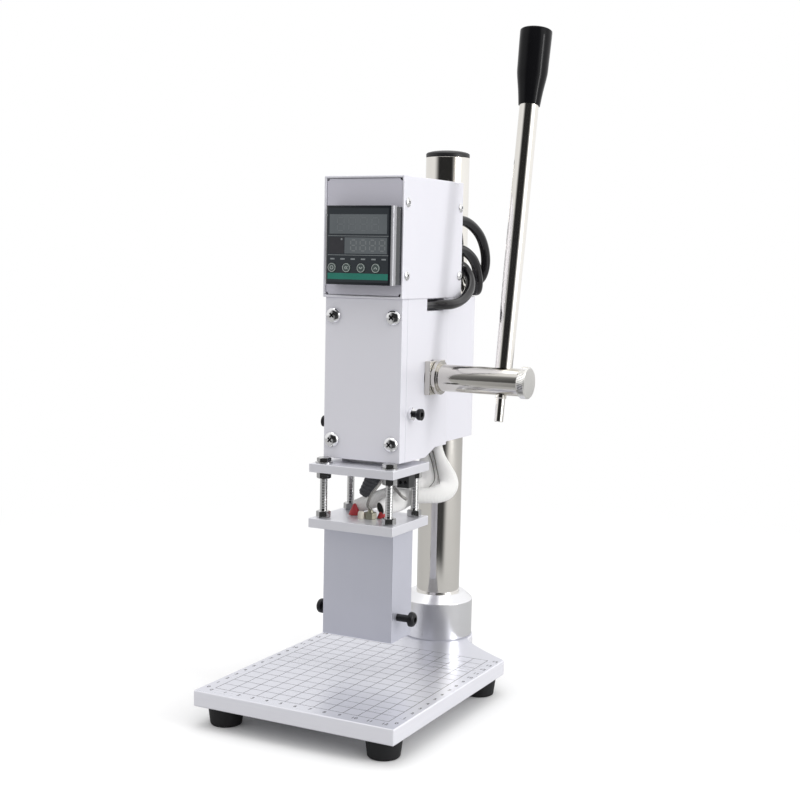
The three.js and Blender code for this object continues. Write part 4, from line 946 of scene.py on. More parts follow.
def figure_bars(left, low, wide, tall):
    """The seven bars of one figure."""
    right, top, centre = left + wide, low + tall, low + tall / 2
    bar, thick = FIGURE_BAR_MM, FIGURE_BAR_MM / 2
    gap = thick + bar * FIGURE_GAP_SHARE
    bars = [(left + bar, right - bar, z - thick, z + thick) for z in (low, centre, top)]
    for x in (left, right):
        bars += [(x - thick, x + thick, a + gap, b - gap) for a, b in ((low, centre), (centre, top))]
    return [on_face(*edges, FIGURE_PROUD_MM) for edges in bars]


figure_grey = Finish("unlit_figures", "black_plastic", roughness=0.3)
figure_grey.grained(0.5, (0.17, 0.185, 0.19), (0.21, 0.225, 0.23))
figure_faint = Finish("unlit_figures_upper", "black_plastic", roughness=0.3)
figure_faint.grained(0.5, (0.135, 0.15, 0.16), (0.15, 0.165, 0.175))
for (name, (lefts, *sizes)), finish in zip(FIGURE_ROWS_MM.items(), (figure_grey, figure_faint)):
    bars = [edges for left in lefts for edges in figure_bars(left, *sizes)]
    fit(boxes(name, bars), finish, "head")


# The keys are domed rubber buttons, each with a pale ring and a plain sign: a ring, two arrows
# sideways, an arrow down and an arrow up. A dome's profile is in shares of its radius, each with its
# depth in millimetres.
KEY_RING_MM, KEY_RING_DEEP_MM, KEY_RING_SHARE = 0.28, 0.12, 0.86
SIGN_MM, SIGN_DEEP_MM, SIGN_SUNK_MM, SMALL_RING_SHARE = 0.36, 0.08, 0.03, 0.36
KEY_DOME_SHARES = [(1.0, 0.5), (0.93, 0.18), (0.7, 0.04)]
ARROW_RISE_SHARE = 0.55
RING_STEPS, SMALL_RING_STEPS = 40, 20
key_rubber = Finish("key_rubber", "key_rubber", roughness=0.45)
key_rubber.grained(3.0, (0.05, 0.075, 0.07), (0.075, 0.10, 0.095), relief_mm=0.01)
key_print = Finish("key_print", "key_rubber", roughness=0.5)
key_print.grained(1.0, (0.45, 0.50, 0.48), (0.58, 0.62, 0.60))


def stroke(ax, az, bx, bz, wide, deep):
    """A thin bar between two points of a plane that faces -Y, as four corners on two levels."""
    along = Vector((bx - ax, bz - az)).normalized()
    side_x, side_z = -along.y * wide / 2, along.x * wide / 2
    flat = [(ax + side_x, az + side_z), (bx + side_x, bz + side_z), (bx - side_x, bz - side_z),
            (ax - side_x, az - side_z)]
    return [(x, 0.0, z) for x, z in flat] + [(x, -deep, z) for x, z in flat]


def circle(radius, steps, wide, deep):
    """A thin ring of strokes."""
    turns = [2 * math.pi * k / steps for k in range(steps + 1)]
    points = [(radius * math.cos(t), radius * math.sin(t)) for t in turns]
    return [stroke(*a, *b, wide, deep) for a, b in zip(points, points[1:])]


def chevron(x, size, turn):
    """The two strokes of an arrow head that points along the turn, in degrees from upwards."""
    cosine, sine = math.cos(math.radians(turn)) * MM, math.sin(math.radians(turn)) * MM
    rise = size * ARROW_RISE_SHARE
    points = [
        (x * MM + px * cosine - pz * sine, px * sine + pz * cosine)
        for px, pz in ((-size, -rise), (0.0, rise), (size, -rise))
    ]
    return [stroke(*a, *b, SIGN_MM * MM, SIGN_DEEP_MM * MM) for a, b in zip(points, points[1:])]


def key_sign(number, radius):
    """The strokes of a key's sign. Only the first key's depends on its radius."""
    if number == 1:
        return circle(radius * SMALL_RING_SHARE, SMALL_RING_STEPS, SIGN_MM * MM, SIGN_DEEP_MM * MM)
    if number == 2:
        return chevron(-0.7, 0.85, 90) + chevron(0.5, 0.85, 90)
    return chevron(0, 1.1, 180 if number == 3 else 0)


for number in KEYS:
    key = f"key_{number}"
    low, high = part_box(key)
    radius = (high.x - low.x) / 2
    centre = Vector(((low.x + high.x) / 2, low.y, (low.z + high.z) / 2))
    deep = high.y - low.y
    dome = [(radius * share, -down * MM) for share, down in KEY_DOME_SHARES]
    button = turned(f"button_{number}", [(0, -deep), (radius, -deep), *dome, (0, 0)], 48)
    fit(placed(button, centre, (0, -1, 0)), key_rubber, key, key)
    bars = circle(radius * KEY_RING_SHARE, RING_STEPS, KEY_RING_MM * MM, KEY_RING_DEEP_MM * MM)
    bars += key_sign(number, radius)
    corners = [corner for bar in bars for corner in bar]
    faces = []
    for n in range(0, len(corners), 8):
        faces += [tuple(n + i for i in face) for face in ringed(4, 2)]
    mark = shown(f"button_sign_{number}", outward(meshed("button_sign", corners, faces)))
    mark.data.transform(Matrix.Translation(centre + Vector((0, SIGN_SUNK_MM * MM, 0))))
    fit(mark, key_print, key)


# Black rubber glands hold the leads in the rear panel. The fourth is bare, because no mains cord is
# known. Each is a flange with a short neck, in radii and heights.
GLAND_BORE_MM, GLAND_NECK_MM, GLAND_EDGE_MM = 3.45, (4.7, 3.2), 2.4
GLAND_END_MM = 4.4
back_face = shell_high.y - inset
for name in GLANDS:
    low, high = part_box("gland_" + name)
    flange_radius, bore_radius = (high.x - low.x) / 2, GLAND_BORE_MM * MM
    long = high.y - back_face
    gland = turned("rubber_gland_" + name, [
        (bore_radius, 0), (flange_radius, 0), (flange_radius, GLAND_EDGE_MM * MM),
        (GLAND_NECK_MM[0] * MM, GLAND_NECK_MM[1] * MM), (GLAND_END_MM * MM, long), (bore_radius, long),
        (bore_radius, 0),
    ], 48)
    placed(gland, ((low.x + high.x) / 2, back_face, (low.z + high.z) / 2), (0, 1, 0))
    fit(eased(gland, 0.2, 2), foot_rubber, "head", "gland_" + name)


# Three leads in smooth black sheaths run from the back of the box into the wells in the head's flanks.
# One goes round the right side. The other two pass behind the column and lie on the clamp.
LEAD_RADIUS_MM, LEAD_SIDES, LEAD_STEPS = 3.3, 20, 6
LEAD_ROUTES_MM = {
    "lower": [
        (20, -40, 260.6), (20, -33, 260.6), (20, -26.8, 260.6), (20.6, -21.4, 260.7), (23.4, -18.4, 258.2),
        (27, -19.2, 253.4), (29.8, -22.8, 248.3), (31.5, -28.6, 243.4), (32.1, -36.5, 239.4),
        (32.1, -45, 236.8), (31.8, -53.6, 235.4), (30.5, -60, 235), (27.1, -65.6, 235), (24.3, -71, 235),
        (23.7, -76.5, 235), (23.7, -81.6, 235),
    ],
    "middle": [
        (20, -40, 271.5), (20, -33, 271.5), (20, -26, 271.5), (20.9, -17, 270.6), (22.3, -8.8, 267.4),
        (23.4, -2.6, 262.4), (24.1, 0.8, 255.4), (24, 2.8, 248.4), (21.6, 6.6, 243.6), (17.2, 12, 242.9),
        (10.2, 17.2, 242.8), (0, 20, 242.8), (-10.2, 17.2, 242.8), (-18.6, 10, 242.6), (-25.2, 0, 241.6),
        (-29.6, -13, 240), (-31.8, -28, 238), (-32.3, -42, 236.2), (-31.9, -53.6, 235.4),
        (-30.5, -60, 235.2), (-27.1, -65.6, 235.2), (-24.3, -71, 235.2), (-23.7, -76.5, 235.2),
        (-23.7, -81.6, 235.2),
    ],
    "upper": [
        (20, -40, 290.5), (20, -33, 290.5), (20, -24, 290.5), (22, -15.4, 289.6), (24, -7, 286),
        (25.8, 0.4, 280), (26.8, 5.4, 272), (27, 7.6, 263.6), (25.6, 8.4, 256.4), (21.4, 12, 251.2),
        (14.4, 18.2, 250), (5, 22.4, 249.9), (-5.6, 22.4, 249.8), (-15.6, 18, 249.6), (-24.6, 10, 248.8),
        (-31.6, -1.6, 247.4), (-36.6, -15, 244.8), (-39.2, -28, 240.8), (-39.4, -40, 235.8),
        (-37.4, -51, 230.6), (-33.2, -59.6, 227.9), (-27.6, -66, 227.6), (-24.4, -71.6, 227.6),
        (-23.7, -77, 227.6), (-23.7, -81.6, 227.6),
    ],
}


def smooth_route(route, steps):
    """Points along a Catmull-Rom curve through the route's points."""
    places = [spot(*p) for p in route]
    ends = [places[0] * 2 - places[1]] + places + [places[-1] * 2 - places[-2]]
    points = []
    for a, b, c, d in zip(ends, ends[1:], ends[2:], ends[3:]):
        for i in range(steps):
            t = i / steps
            points.append(
                0.5 * (2 * b + (c - a) * t + (2 * a - 5 * b + 4 * c - d) * t * t
                       + (3 * b - a - 3 * c + d) * t * t * t)
            )
    return points + [places[-1]]


def tube(name, points, radii, sides=16, thin=None, facing=None):
    """A closed tube along points, with its length and its girth in a UV map, in metres.

    With thin it is flattened: thin gives its half thickness in the direction that it faces.
    """
    count = len(points)
    ways = [(points[min(i + 1, count - 1)] - points[max(i - 1, 0)]).normalized() for i in range(count)]
    across = ways[0].orthogonal().normalized()
    corners, lengths = [], []
    for i, (point, way, radius) in enumerate(zip(points, ways, radii)):
        if facing:
            across = facing.cross(way).normalized()
        else:
            across = (across - way * across.dot(way)).normalized()
        over = way.cross(across)
        deep = thin[i] if thin else radius
        lengths.append(lengths[-1] + (point - points[i - 1]).length if i else 0.0)
        for k in range(sides):
            angle = 2 * math.pi * k / sides
            corners.append(point + across * math.cos(angle) * radius + over * math.sin(angle) * deep)
    mesh = meshed(name, corners, ringed(sides, count))
    layer = mesh.uv_layers.new(name="length_and_girth")
    step = 2 * math.pi * max(radii) / sides
    for face in list(mesh.polygons)[2:]:
        i, k = divmod(face.index - 2, sides)
        values = [(lengths[i], k), (lengths[i], k + 1), (lengths[i + 1], k + 1), (lengths[i + 1], k)]
        for offset, (length, turn) in enumerate(values):
            layer.data[face.loop_start + offset].uv = (length, turn * step)
    return shaded(shown(name, outward(mesh)), 50)


sheath = Finish("lead_sheath", "lead_sheath")
sheath.grained(0.8, (0.007, 0.0065, 0.008), (0.013, 0.012, 0.014), (0.09, 0.06), 0.004)
for name, route in LEAD_ROUTES_MM.items():
    points = smooth_route(route, LEAD_STEPS)
    lead = tube(f"black_lead_{name}", points, [LEAD_RADIUS_MM * MM] * len(points), LEAD_SIDES)
    fit(lead, sheath, "head", "lead_" + name)


# The ram's steel bar slides in the head, driven by the pinion against a spring. A bronze bush carries
# the pinion's left end.
bar_steel = Finish("ram_steel", "plain_steel", metallic=1.0)
ram_lines = bar_steel.speckle(0.8, (1, 1, 0.05))
bar_steel.grained(ram_lines, (0.42, 0.42, 0.43), (0.55, 0.55, 0.56), (0.24, 0.12))
dress(bar_steel, "ram_bar", "pinion", "return_spring")
bronze = Finish("sintered_bronze", "bronze", metallic=1.0)
bronze.grained(3.0, (0.36, 0.25, 0.11), (0.5, 0.36, 0.18), (0.4, 0.15))
dress(bronze, "bush_left")


# Two brushed aluminium plates hang from the ram, one above the other, and hold the heated block. Four
# studs keep them apart.
plate_metal = Finish("cage_aluminium", "cage_plate", metallic=0.5)
plate_lines = plate_metal.speckle(0.7, (0.05, 1, 1), 4.0)
plate_metal.grained(0.03, (0.80, 0.80, 0.85), (0.86, 0.86, 0.91))
plate_metal.coat(roughness=0.27 + plate_lines * 0.12)
plate_metal.relief(plate_lines, 0.005)
for name in ("upper_plate", "lower_plate"):
    plate = block("cage_" + name, *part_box(name))
    fit(eased(plate, 0.45), plate_metal, "ram", name)


# Each stud is a threaded rod with a hexagon nut under the upper plate and one on the lower plate. The
# front two have a hexagon head on a washer above.
THREAD_PITCH_MM, THREAD_DEPTH_MM, THREAD_STEPS = 1.0, 0.12, 16
STUD_RADIUS_MM = 2.4
NUT_SIDE_STEPS, NUT_FACE_SHARE, NUT_RISE_SHARE = 10, 0.97, 0.55
NUT_TALL_MM, FRONT_NUT_MM = 4.3, 4.62
WASHER_MM, WASHER_TALL_MM = 5.5, 0.8
NUT_TURNS = {"front_left": 26, "front_right": 28, "rear_left": 20, "rear_right": 34}


def thread(name, radius, low, high):
    """A threaded bar about Z: one root and one crest line that wind round it."""
    pitch, root = THREAD_PITCH_MM * MM, radius - THREAD_DEPTH_MM * MM
    count = int((high - low) / pitch * THREAD_STEPS)
    corners = []
    for i in range(count + 1):
        angle = 2 * math.pi * i / THREAD_STEPS
        up = min(low + pitch * i / THREAD_STEPS, high)
        for reach, level in ((root, up), (radius, min(up + pitch / 2, high))):
            corners.append((reach * math.cos(angle), reach * math.sin(angle), level))
    faces = []
    for i in range(count):
        here, after, above = 2 * i, 2 * i + 2, 2 * (i + THREAD_STEPS)
        faces.append((here, after, after + 1, here + 1))
        if i + THREAD_STEPS < count:
            faces.append((here + 1, after + 1, above + 2, above))
    return shaded(shown(name, outward(meshed(name, corners, faces))), 25)


def hexagon(name, corner_radius, low, high, turn=0.0):
    """A hexagon about Z whose corners are turned off at both ends."""
    flat = corner_radius * math.cos(math.pi / 6)
    steps = 6 * NUT_SIDE_STEPS
    face = flat * NUT_FACE_SHARE
    rows = [[], [], [], []]
    for i in range(steps):
        angle = 2 * math.pi * i / steps
        radius = flat / math.cos((angle % (math.pi / 3)) - math.pi / 6)
        rise = (radius - face) * NUT_RISE_SHARE
        levels = ((face, low), (radius, low + rise), (radius, high - rise), (face, high))
        for row, (reach, level) in zip(rows, levels):
            row.append((reach * math.cos(angle + turn), reach * math.sin(angle + turn), level))
    return made(name, [corner for row in rows for corner in row], ringed(steps, 4))


bright_zinc = Finish("bright_zinc", "chrome_screws", metallic=1.0)
bright_zinc.grained(0.4, (0.50, 0.50, 0.50), (0.60, 0.60, 0.60), (0.09, 0.07))
upper_low, upper_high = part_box("upper_plate")
lower_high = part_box("lower_plate")[1]
nut = NUT_TALL_MM * MM
washer_top = upper_high.z + WASHER_TALL_MM * MM
for corner, nut_turn in NUT_TURNS.items():
    end, hand = corner.split("_")
    nut_turn = math.radians(nut_turn)
    low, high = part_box("stud_" + corner)
    centre = ((low.x + high.x) / 2, (low.y + high.y) / 2, 0)
    nut_radius = (high.y - low.y) / 2 if end == "rear" else FRONT_NUT_MM * MM
    rod = thread("thread_" + corner, STUD_RADIUS_MM * MM, lower_high.z, upper_low.z)
    fit(placed(rod, centre), bright_zinc, "ram", "stud_" + corner)
    for level, bottom in (("upper", upper_low.z - nut), ("lower", lower_high.z)):
        piece = hexagon(f"nut_{level}_{corner}", nut_radius, bottom, bottom + nut, nut_turn)
        fit(placed(piece, centre), bright_zinc, "ram")
    if end == "front":
        washer = pin(f"washer_{hand}", WASHER_MM * MM, upper_high.z, washer_top, 40)
        fit(eased(placed(washer, centre), 0.15, 2), bright_zinc, "ram")
        head_piece = hexagon(f"stud_head_{hand}", nut_radius, washer_top, high.z, nut_turn)
        fit(placed(head_piece, centre), bright_zinc, "ram")


# The heated block is milled from aluminium and brushed upwards. A slot in its foot takes the type.
SLOT_HALF_MM, SLOT_WIDE_MM, SLOT_DEEP_MM, SLOT_BACK_MM = 21.0, 7.0, 20.0, -109.7
heater_metal = Finish("heater_aluminium", "heater_metal", metallic=0.65)
upright_lines = heater_metal.speckle(0.9, (1, 1, 0.03), 4.0)
heater_metal.grained(0.018, (0.64, 0.65, 0.74), (0.72, 0.73, 0.81))
heater_metal.coat(roughness=0.28 + upright_lines * 0.14)
heater_metal.relief(upright_lines, 0.006)
low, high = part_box("heater_block")
heated = block("heated_block", low, high)
slot_y = COLUMN_AXIS.y + SLOT_BACK_MM * MM
slot_half, slot_side = SLOT_HALF_MM * MM, SLOT_WIDE_MM / 2 * MM
slot_tool = block(
    "slot", (COLUMN_AXIS.x - slot_half, slot_y - slot_side, low.z - MM),
    (COLUMN_AXIS.x + slot_half, slot_y + slot_side, low.z + SLOT_DEEP_MM * MM),
)
cut(heated, slot_tool)
fit(eased(heated, 0.5), heater_metal, "ram", "heater_block")


# A black button head screw holds the type from each end of its slot. The screws are steel with a
# black oxide, and have a hexagon socket.
SOCKET_DEEP_MM = 1.9
BUTTON_TALL_MM, BUTTON_STEPS, BUTTON_EDGE_SHARE, BUTTON_SOCKET_MM = 3.5, 6, 0.35, 1.85
THREAD_IN_HEAD_MM = 0.4
black_oxide = Finish("black_oxide", "black_screws", metallic=0.6)
black_oxide.grained(1.5, (0.012, 0.012, 0.014), (0.03, 0.03, 0.033), (0.28, 0.14))


def socket_head(name, outline, socket_mm, top):
    """A turned head about Z with a hexagon socket in its top."""
    shape = turned(name, outline, 56)
    socket = hexagon("socket", socket_mm * MM, top - SOCKET_DEEP_MM * MM, top + MM)
    cut(shape, socket)
    return eased(shape, 0.12, 2)


for hand, sign in (("right", 1), ("left", -1)):
    node = "type_screw_" + hand
    low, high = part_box(node)
    radius = (high.z - low.z) / 2
    tip = (low.x if sign > 0 else high.x, (low.y + high.y) / 2, (low.z + high.z) / 2)
    long = high.x - low.x
    head_tall = BUTTON_TALL_MM * MM
    head_start = long - head_tall
    rod = thread(f"type_screw_thread_{hand}", STUD_RADIUS_MM * MM, 0.0, head_start + THREAD_IN_HEAD_MM * MM)
    fit(placed(rod, tip, (sign, 0, 0)), black_oxide, node)
    profile = [(0, head_start), (radius, head_start)]
    for i in range(BUTTON_STEPS + 1):
        turn = math.pi / 2 * i / BUTTON_STEPS
        level = BUTTON_EDGE_SHARE + (1 - BUTTON_EDGE_SHARE) * math.sin(turn)
        profile.append((radius * (math.cos(turn) + 1) / 2, head_start + head_tall * level))
    profile.append((0, long))
    button = socket_head("type_screw_head_" + hand, profile, BUTTON_SOCKET_MM, long)
    fit(placed(button, tip, (sign, 0, 0)), black_oxide, node, node)


# Heater cartridges stand in the block and end in pointed red silicone seals, each in a steel ring on
# the lower plate. A seal's profile is in shares of its radius and of its height.
SEAL_SUNK_MM, SEAL_FOOT_MM = 0.5, 0.8
SEAL_PROFILE_SHARES = [(0.76, 0.4), (0.46, 0.72), (0.2, 1.0)]
SEAL_RING_WIDER_MM, SEAL_RING_TALL_MM = 0.3, 0.4
seal_red = Finish("seal_red", "heater_seal", roughness=0.45)
seal_red.grained(0.8, (0.36, 0.02, 0.025), (0.50, 0.04, 0.05), relief_mm=0.03)
tube_steel = Finish("cartridge_steel", "plain_steel", metallic=1.0, roughness=0.3)
tube_steel.grained(0.5, (0.45, 0.44, 0.43), (0.56, 0.55, 0.53))
for hand in ("left", "right"):
    node = "heater_cartridge_" + hand
    low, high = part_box(node)
    radius = (high.x - low.x) / 2
    top = high.z - lower_high.z
    centre = ((low.x + high.x) / 2, (low.y + high.y) / 2, lower_high.z)
    cone = [(radius * wide, top * up) for wide, up in SEAL_PROFILE_SHARES]
    seal = turned("seal_" + hand, [
        (0, -SEAL_SUNK_MM * MM), (radius, -SEAL_SUNK_MM * MM), (radius, SEAL_FOOT_MM * MM), *cone, (0, top),
    ], 40)
    fit(eased(placed(seal, centre), 0.25, 2), seal_red, "ram", node)
    ring = pin("seal_ring_" + hand, radius + SEAL_RING_WIDER_MM * MM, 0, SEAL_RING_TALL_MM * MM, 40)
    fit(eased(placed(ring, centre), 0.15, 2), tube_steel, "ram")


# The probe screws into the block with an olive hexagon and a nose. Its wires run on in a grey ribbed
# sleeve of rubber, and a black terminal block with two wire holes hangs from the upper plate.
PROBE_HEX_MM, PROBE_TALL_MM, PROBE_TURN = 4.1, 4.2, 10.0
NOSE_MM, NOSE_END_MM, NOSE_SUNK_MM = 2.0, 1.7, 0.2
RIBBED_TOP_MM, RIBBED_FOOT_MM = (0.2, -97.5, 126.3), (-6.2, -97.5, 112.3)
RIBS, RIB_LOW_MM, RIB_HIGH_MM = 6, 4.4, 5.0
RIB_SHARES = ((RIB_LOW_MM, 0.0), (RIB_LOW_MM, 0.35), (RIB_HIGH_MM, 0.45), (RIB_HIGH_MM, 0.95))
TERMINAL_SHARE, TERMINAL_HOLE_MM, TERMINAL_HOLE_DEEP_MM = 0.28, 1.1, 3.0
olive = Finish("probe_fitting", "probe_metal", metallic=0.8)
olive.grained(1.0, (0.34, 0.33, 0.25), (0.44, 0.43, 0.34), (0.32, 0.12))
low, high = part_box("thermocouple")
probe_place = ((low.x + high.x) / 2, (low.y + high.y) / 2, lower_high.z)
probe_tall, probe_top = PROBE_TALL_MM * MM, high.z - lower_high.z
probe_hex = hexagon("probe_hexagon", PROBE_HEX_MM * MM, 0.0, probe_tall, math.radians(PROBE_TURN))
fit(placed(probe_hex, probe_place), olive, "ram", "thermocouple")
nose_foot = probe_tall - NOSE_SUNK_MM * MM
probe_nose = turned("probe_nose", [
    (0, nose_foot), (NOSE_MM * MM, nose_foot), (NOSE_END_MM * MM, probe_top), (0, probe_top),
], 32)
fit(eased(placed(probe_nose, probe_place), 0.15, 2), olive, "ram")
sleeve_grey = Finish("sleeve_grey", "grey_rubber", roughness=0.6)
sleeve_grey.grained(1.2, (0.055, 0.058, 0.066), (0.085, 0.088, 0.098), relief_mm=0.03)
top, foot = spot(*RIBBED_TOP_MM), spot(*RIBBED_FOOT_MM)
long = (top - foot).length
profile = [(0, 0)]
for i in range(RIBS):
    profile += [(reach * MM, long * (i + share) / RIBS) for reach, share in RIB_SHARES]
profile += [(RIB_LOW_MM * MM, long), (0, long)]
boot = turned("ribbed_sleeve", profile, 40)
fit(eased(placed(boot, foot, top - foot), 0.12, 2), sleeve_grey, "ram", "thermocouple_sleeve")
low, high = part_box("terminal_block")
terminal = block("terminal", low, high)
tools = []
for share in (TERMINAL_SHARE, 1 - TERMINAL_SHARE):
    hole = pin("hole", TERMINAL_HOLE_MM * MM, 0, TERMINAL_HOLE_DEEP_MM * MM, 24)
    place = (low.x + (high.x - low.x) * share, low.y - MM, (low.z + high.z) / 2 - MM)
    tools.append(placed(hole, place, (0, 1, 0)))
cut(terminal, *tools)
fit(eased(terminal, 0.5), black_moulding, "ram", "terminal_block")


# White glass fibre sleeves carry the heaters' wires. They leave a duct in the head, hang flat in a fold
# beside the column, and each ends at a red seal. Each stop of a route is a place and the sleeve's half
# width there.
SLEEVE_THIN_MM, SLEEVE_STEPS, SLEEVE_SIDES = 3.3, 8, 28
SLEEVE_FACES = Vector((0.46, -0.89, 0.0))
BRAID_PER_M = 3600.0
DUCT_MOUTH_MM, CAGE_REACH_MM = 141.0, 112.0
MOUTH_WIDE_SHARE, MOUTH_THIN_SHARE = 0.84, 0.8
MOUTH_SUNK_MM, MOUTH_PROUD_MM = 0.2, 0.04
WIRE_ROUTES_MM = {
    "long": [
        (22.2, -51.5, 156, 2.7), (22.2, -51.5, 147, 2.7), (22.2, -51.8, 141, 3.2), (24.6, -53, 133.4, 4.2),
        (29.6, -56, 126.8, 5.2), (33.6, -59, 121.8, 6.2), (35.6, -62, 117.6, 6.6), (34.8, -66, 114.4, 6.6),
        (31.4, -70.4, 112.4, 5.8), (26.6, -75, 111.8, 5.0), (21.6, -79.2, 111.6, 5.0), (17.4, -84, 111, 5.8),
        (15.4, -89.6, 110, 6.6), (14.4, -95, 109, 6.4), (12.6, -99.8, 108.2, 5.8), (10.8, -103.4, 107.4, 5.0),
        (9.6, -106.8, 106.6, 4.5),
    ],
    "short": [
        (16.8, -51.5, 156, 2.7), (16.8, -51.5, 147, 2.7), (16.6, -51.7, 141, 3.2), (15.8, -52.6, 134.4, 4.8),
        (16.6, -55, 128.4, 6.0), (18.2, -58.4, 122.8, 6.9), (19.4, -63, 118, 7.3), (18.8, -69, 115.4, 6.4),
        (15.6, -75.6, 114.2, 5.2), (12.2, -82, 113.6, 5.2), (8.8, -88.4, 112.8, 5.4), (5, -93, 111.4, 5.4),
        (0.4, -96.6, 109.6, 5.2), (-4.4, -98.6, 107.6, 4.9), (-8.6, -99.2, 105.9, 4.5),
        (-12, -99.4, 104.7, 4.1),
    ],
}


def wave(finish, per_m, hand=1.0):
    """A wave from -1 to 1 across a braid's threads that wind round a tube to one hand."""
    place = finish.node("ShaderNodeUVMap", {"uv_map": "length_and_girth"})
    along = finish.node("ShaderNodeSeparateXYZ", None, {0: place})
    return along.maths("SINE", (along + along.output(1) * hand) * per_m, 0.0)


def flexing(cord, finish, x, y):
    """Gives a cord its finish and makes its place part of its mesh."""
    cord.data.materials.append(finish.material)
    spot(x, y, DUCT_MOUTH_MM)
    spot(x, y, CAGE_REACH_MM)
    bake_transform(cord)


glass_white = Finish("glass_sleeving", "glass_sleeving", roughness=0.8)
braid = wave(glass_white, BRAID_PER_M) * wave(glass_white, BRAID_PER_M, -1.0) * 0.5 + 0.5
glass_white.grained(braid, (0.78, 0.775, 0.76), (0.95, 0.945, 0.93), relief_mm=0.12)
shadow_black = Finish("shadow_black", "black_plastic", roughness=0.8)
shadow_black.grained(1.0, (0.008, 0.008, 0.008), (0.02, 0.02, 0.02))
for name, route in WIRE_ROUTES_MM.items():
    points = smooth_route([stop[:3] for stop in route], SLEEVE_STEPS)
    wide = []
    for (*_, here), (*_, there) in zip(route, route[1:]):
        wide += [(here + (there - here) * i / SLEEVE_STEPS) * MM for i in range(SLEEVE_STEPS)]
    wide.append(route[-1][3] * MM)
    thin = [min(half_width, SLEEVE_THIN_MM * MM) for half_width in wide]
    sleeve = tube("white_sleeve_" + name, points, wide, SLEEVE_SIDES, thin, SLEEVE_FACES)
    flexing(sleeve, glass_white, *route[1][:2])
    if name == "long":
        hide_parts("heater_wires")
    # A thin black disc in each sleeve's open end is a painted shadow, for the shade inside the mouth.
    onward = (points[-1] - points[-2]).normalized() * MM
    mouth = [points[-1] - onward * MOUTH_SUNK_MM, points[-1] + onward * MOUTH_PROUD_MM]
    mouth_wide, mouth_thin = [wide[-1] * MOUTH_WIDE_SHARE] * 2, [thin[-1] * MOUTH_THIN_SHARE] * 2
    dark = tube("sleeve_mouth_" + name, mouth, mouth_wide, SLEEVE_SIDES, mouth_thin, SLEEVE_FACES)
    fit(dark, shadow_black, "ram")


# Two threads have frayed from the long sleeve. They start at the duct's mouth, hang free beside it and
# grow finer towards their ends.
FRAYED_MM, FRAYED_END_MM, FRAYED_STEPS, FRAYED_SIDES = 0.46, 0.16, 5, 8
FRAYED_ROUTES_MM = [
    [
        (18.1, -56.4, 137.4), (22.6, -60.4, 131.6), (26.2, -64, 125), (27.9, -67.6, 120.4),
        (26.2, -71.6, 116.4),
    ],
    [
        (21.2, -56.4, 138.3), (25.0, -60.2, 131.9), (28.6, -64, 125.6), (31.6, -67.6, 121.4),
        (33.4, -71.2, 116.2),
    ],
]
frayed = Finish("frayed_thread", "glass_sleeving", roughness=0.7)
frayed.grained(0.5, (0.05, 0.05, 0.045), (0.16, 0.155, 0.14))
for number, route in enumerate(FRAYED_ROUTES_MM):
    points = smooth_route(route, FRAYED_STEPS)
    finer = (FRAYED_MM - FRAYED_END_MM) / (len(points) - 1)
    radii = [(FRAYED_MM - finer * i) * MM for i in range(len(points))]
    loose = tube(f"frayed_thread_{number}", points, radii, FRAYED_SIDES)
    flexing(loose, frayed, *WIRE_ROUTES_MM["long"][1][:2])


# The probe's lead and a wire of the terminal block are thin and braided with steel. Both stay in the
# cage and move with the ram.
THIN_WIRE_MM, THIN_WIRE_STEPS, THIN_WIRE_SIDES = 0.95, 8, 12
WEAVE_PER_M = 9000.0
THIN_WIRE_ROUTES_MM = {
    "probe_braid": [
        (4.2, -109.6, 104), (4.2, -110, 106), (3.7, -112.6, 108.8), (5.2, -114.4, 112), (6.9, -113.6, 116.2),
        (8.8, -112, 119.6), (10.6, -109, 123.4), (11.6, -106, 128.4),
    ],
    "terminal_wire": [
        (15, -100.4, 120.6), (16.4, -100.4, 119), (19, -100.4, 116.6), (21.4, -99.6, 114.2), (22.4, -96, 112),
    ],
}
braided_steel = Finish("braided_steel", "plain_steel", metallic=0.9, roughness=0.4)
weave = wave(braided_steel, WEAVE_PER_M) * 0.5 + 0.5
braided_steel.grained(weave, (0.24, 0.23, 0.22), (0.50, 0.49, 0.47), relief_mm=0.08)
for name, route in THIN_WIRE_ROUTES_MM.items():
    points = smooth_route(route, THIN_WIRE_STEPS)
    wire = tube(name, points, [THIN_WIRE_MM * MM] * len(points), THIN_WIRE_SIDES)
    fit(wire, braided_steel, "ram")


# A pale ceramic bead beside the probe holds its wires apart. It stands on the lower plate, and its
# profile is in radii and heights.
BEAD_PLACE_MM = (-0.6, -113.2)
BEAD_PROFILE_MM = [(0, 0), (2.0, 0), (2.1, 1.2), (2.1, 3.8), (1.6, 5.0), (0, 5.0)]
ceramic = Finish("ceramic_bead", "glass_sleeving", roughness=0.5)
ceramic.grained(0.6, (0.62, 0.58, 0.49), (0.74, 0.71, 0.63))
bead = turned("bead", [(radius * MM, up * MM) for radius, up in BEAD_PROFILE_MM], 32)
bead_foot = spot(*BEAD_PLACE_MM, 0)
bead_foot.z = lower_high.z
fit(eased(placed(bead, bead_foot), 0.3, 2), ceramic, "ram")


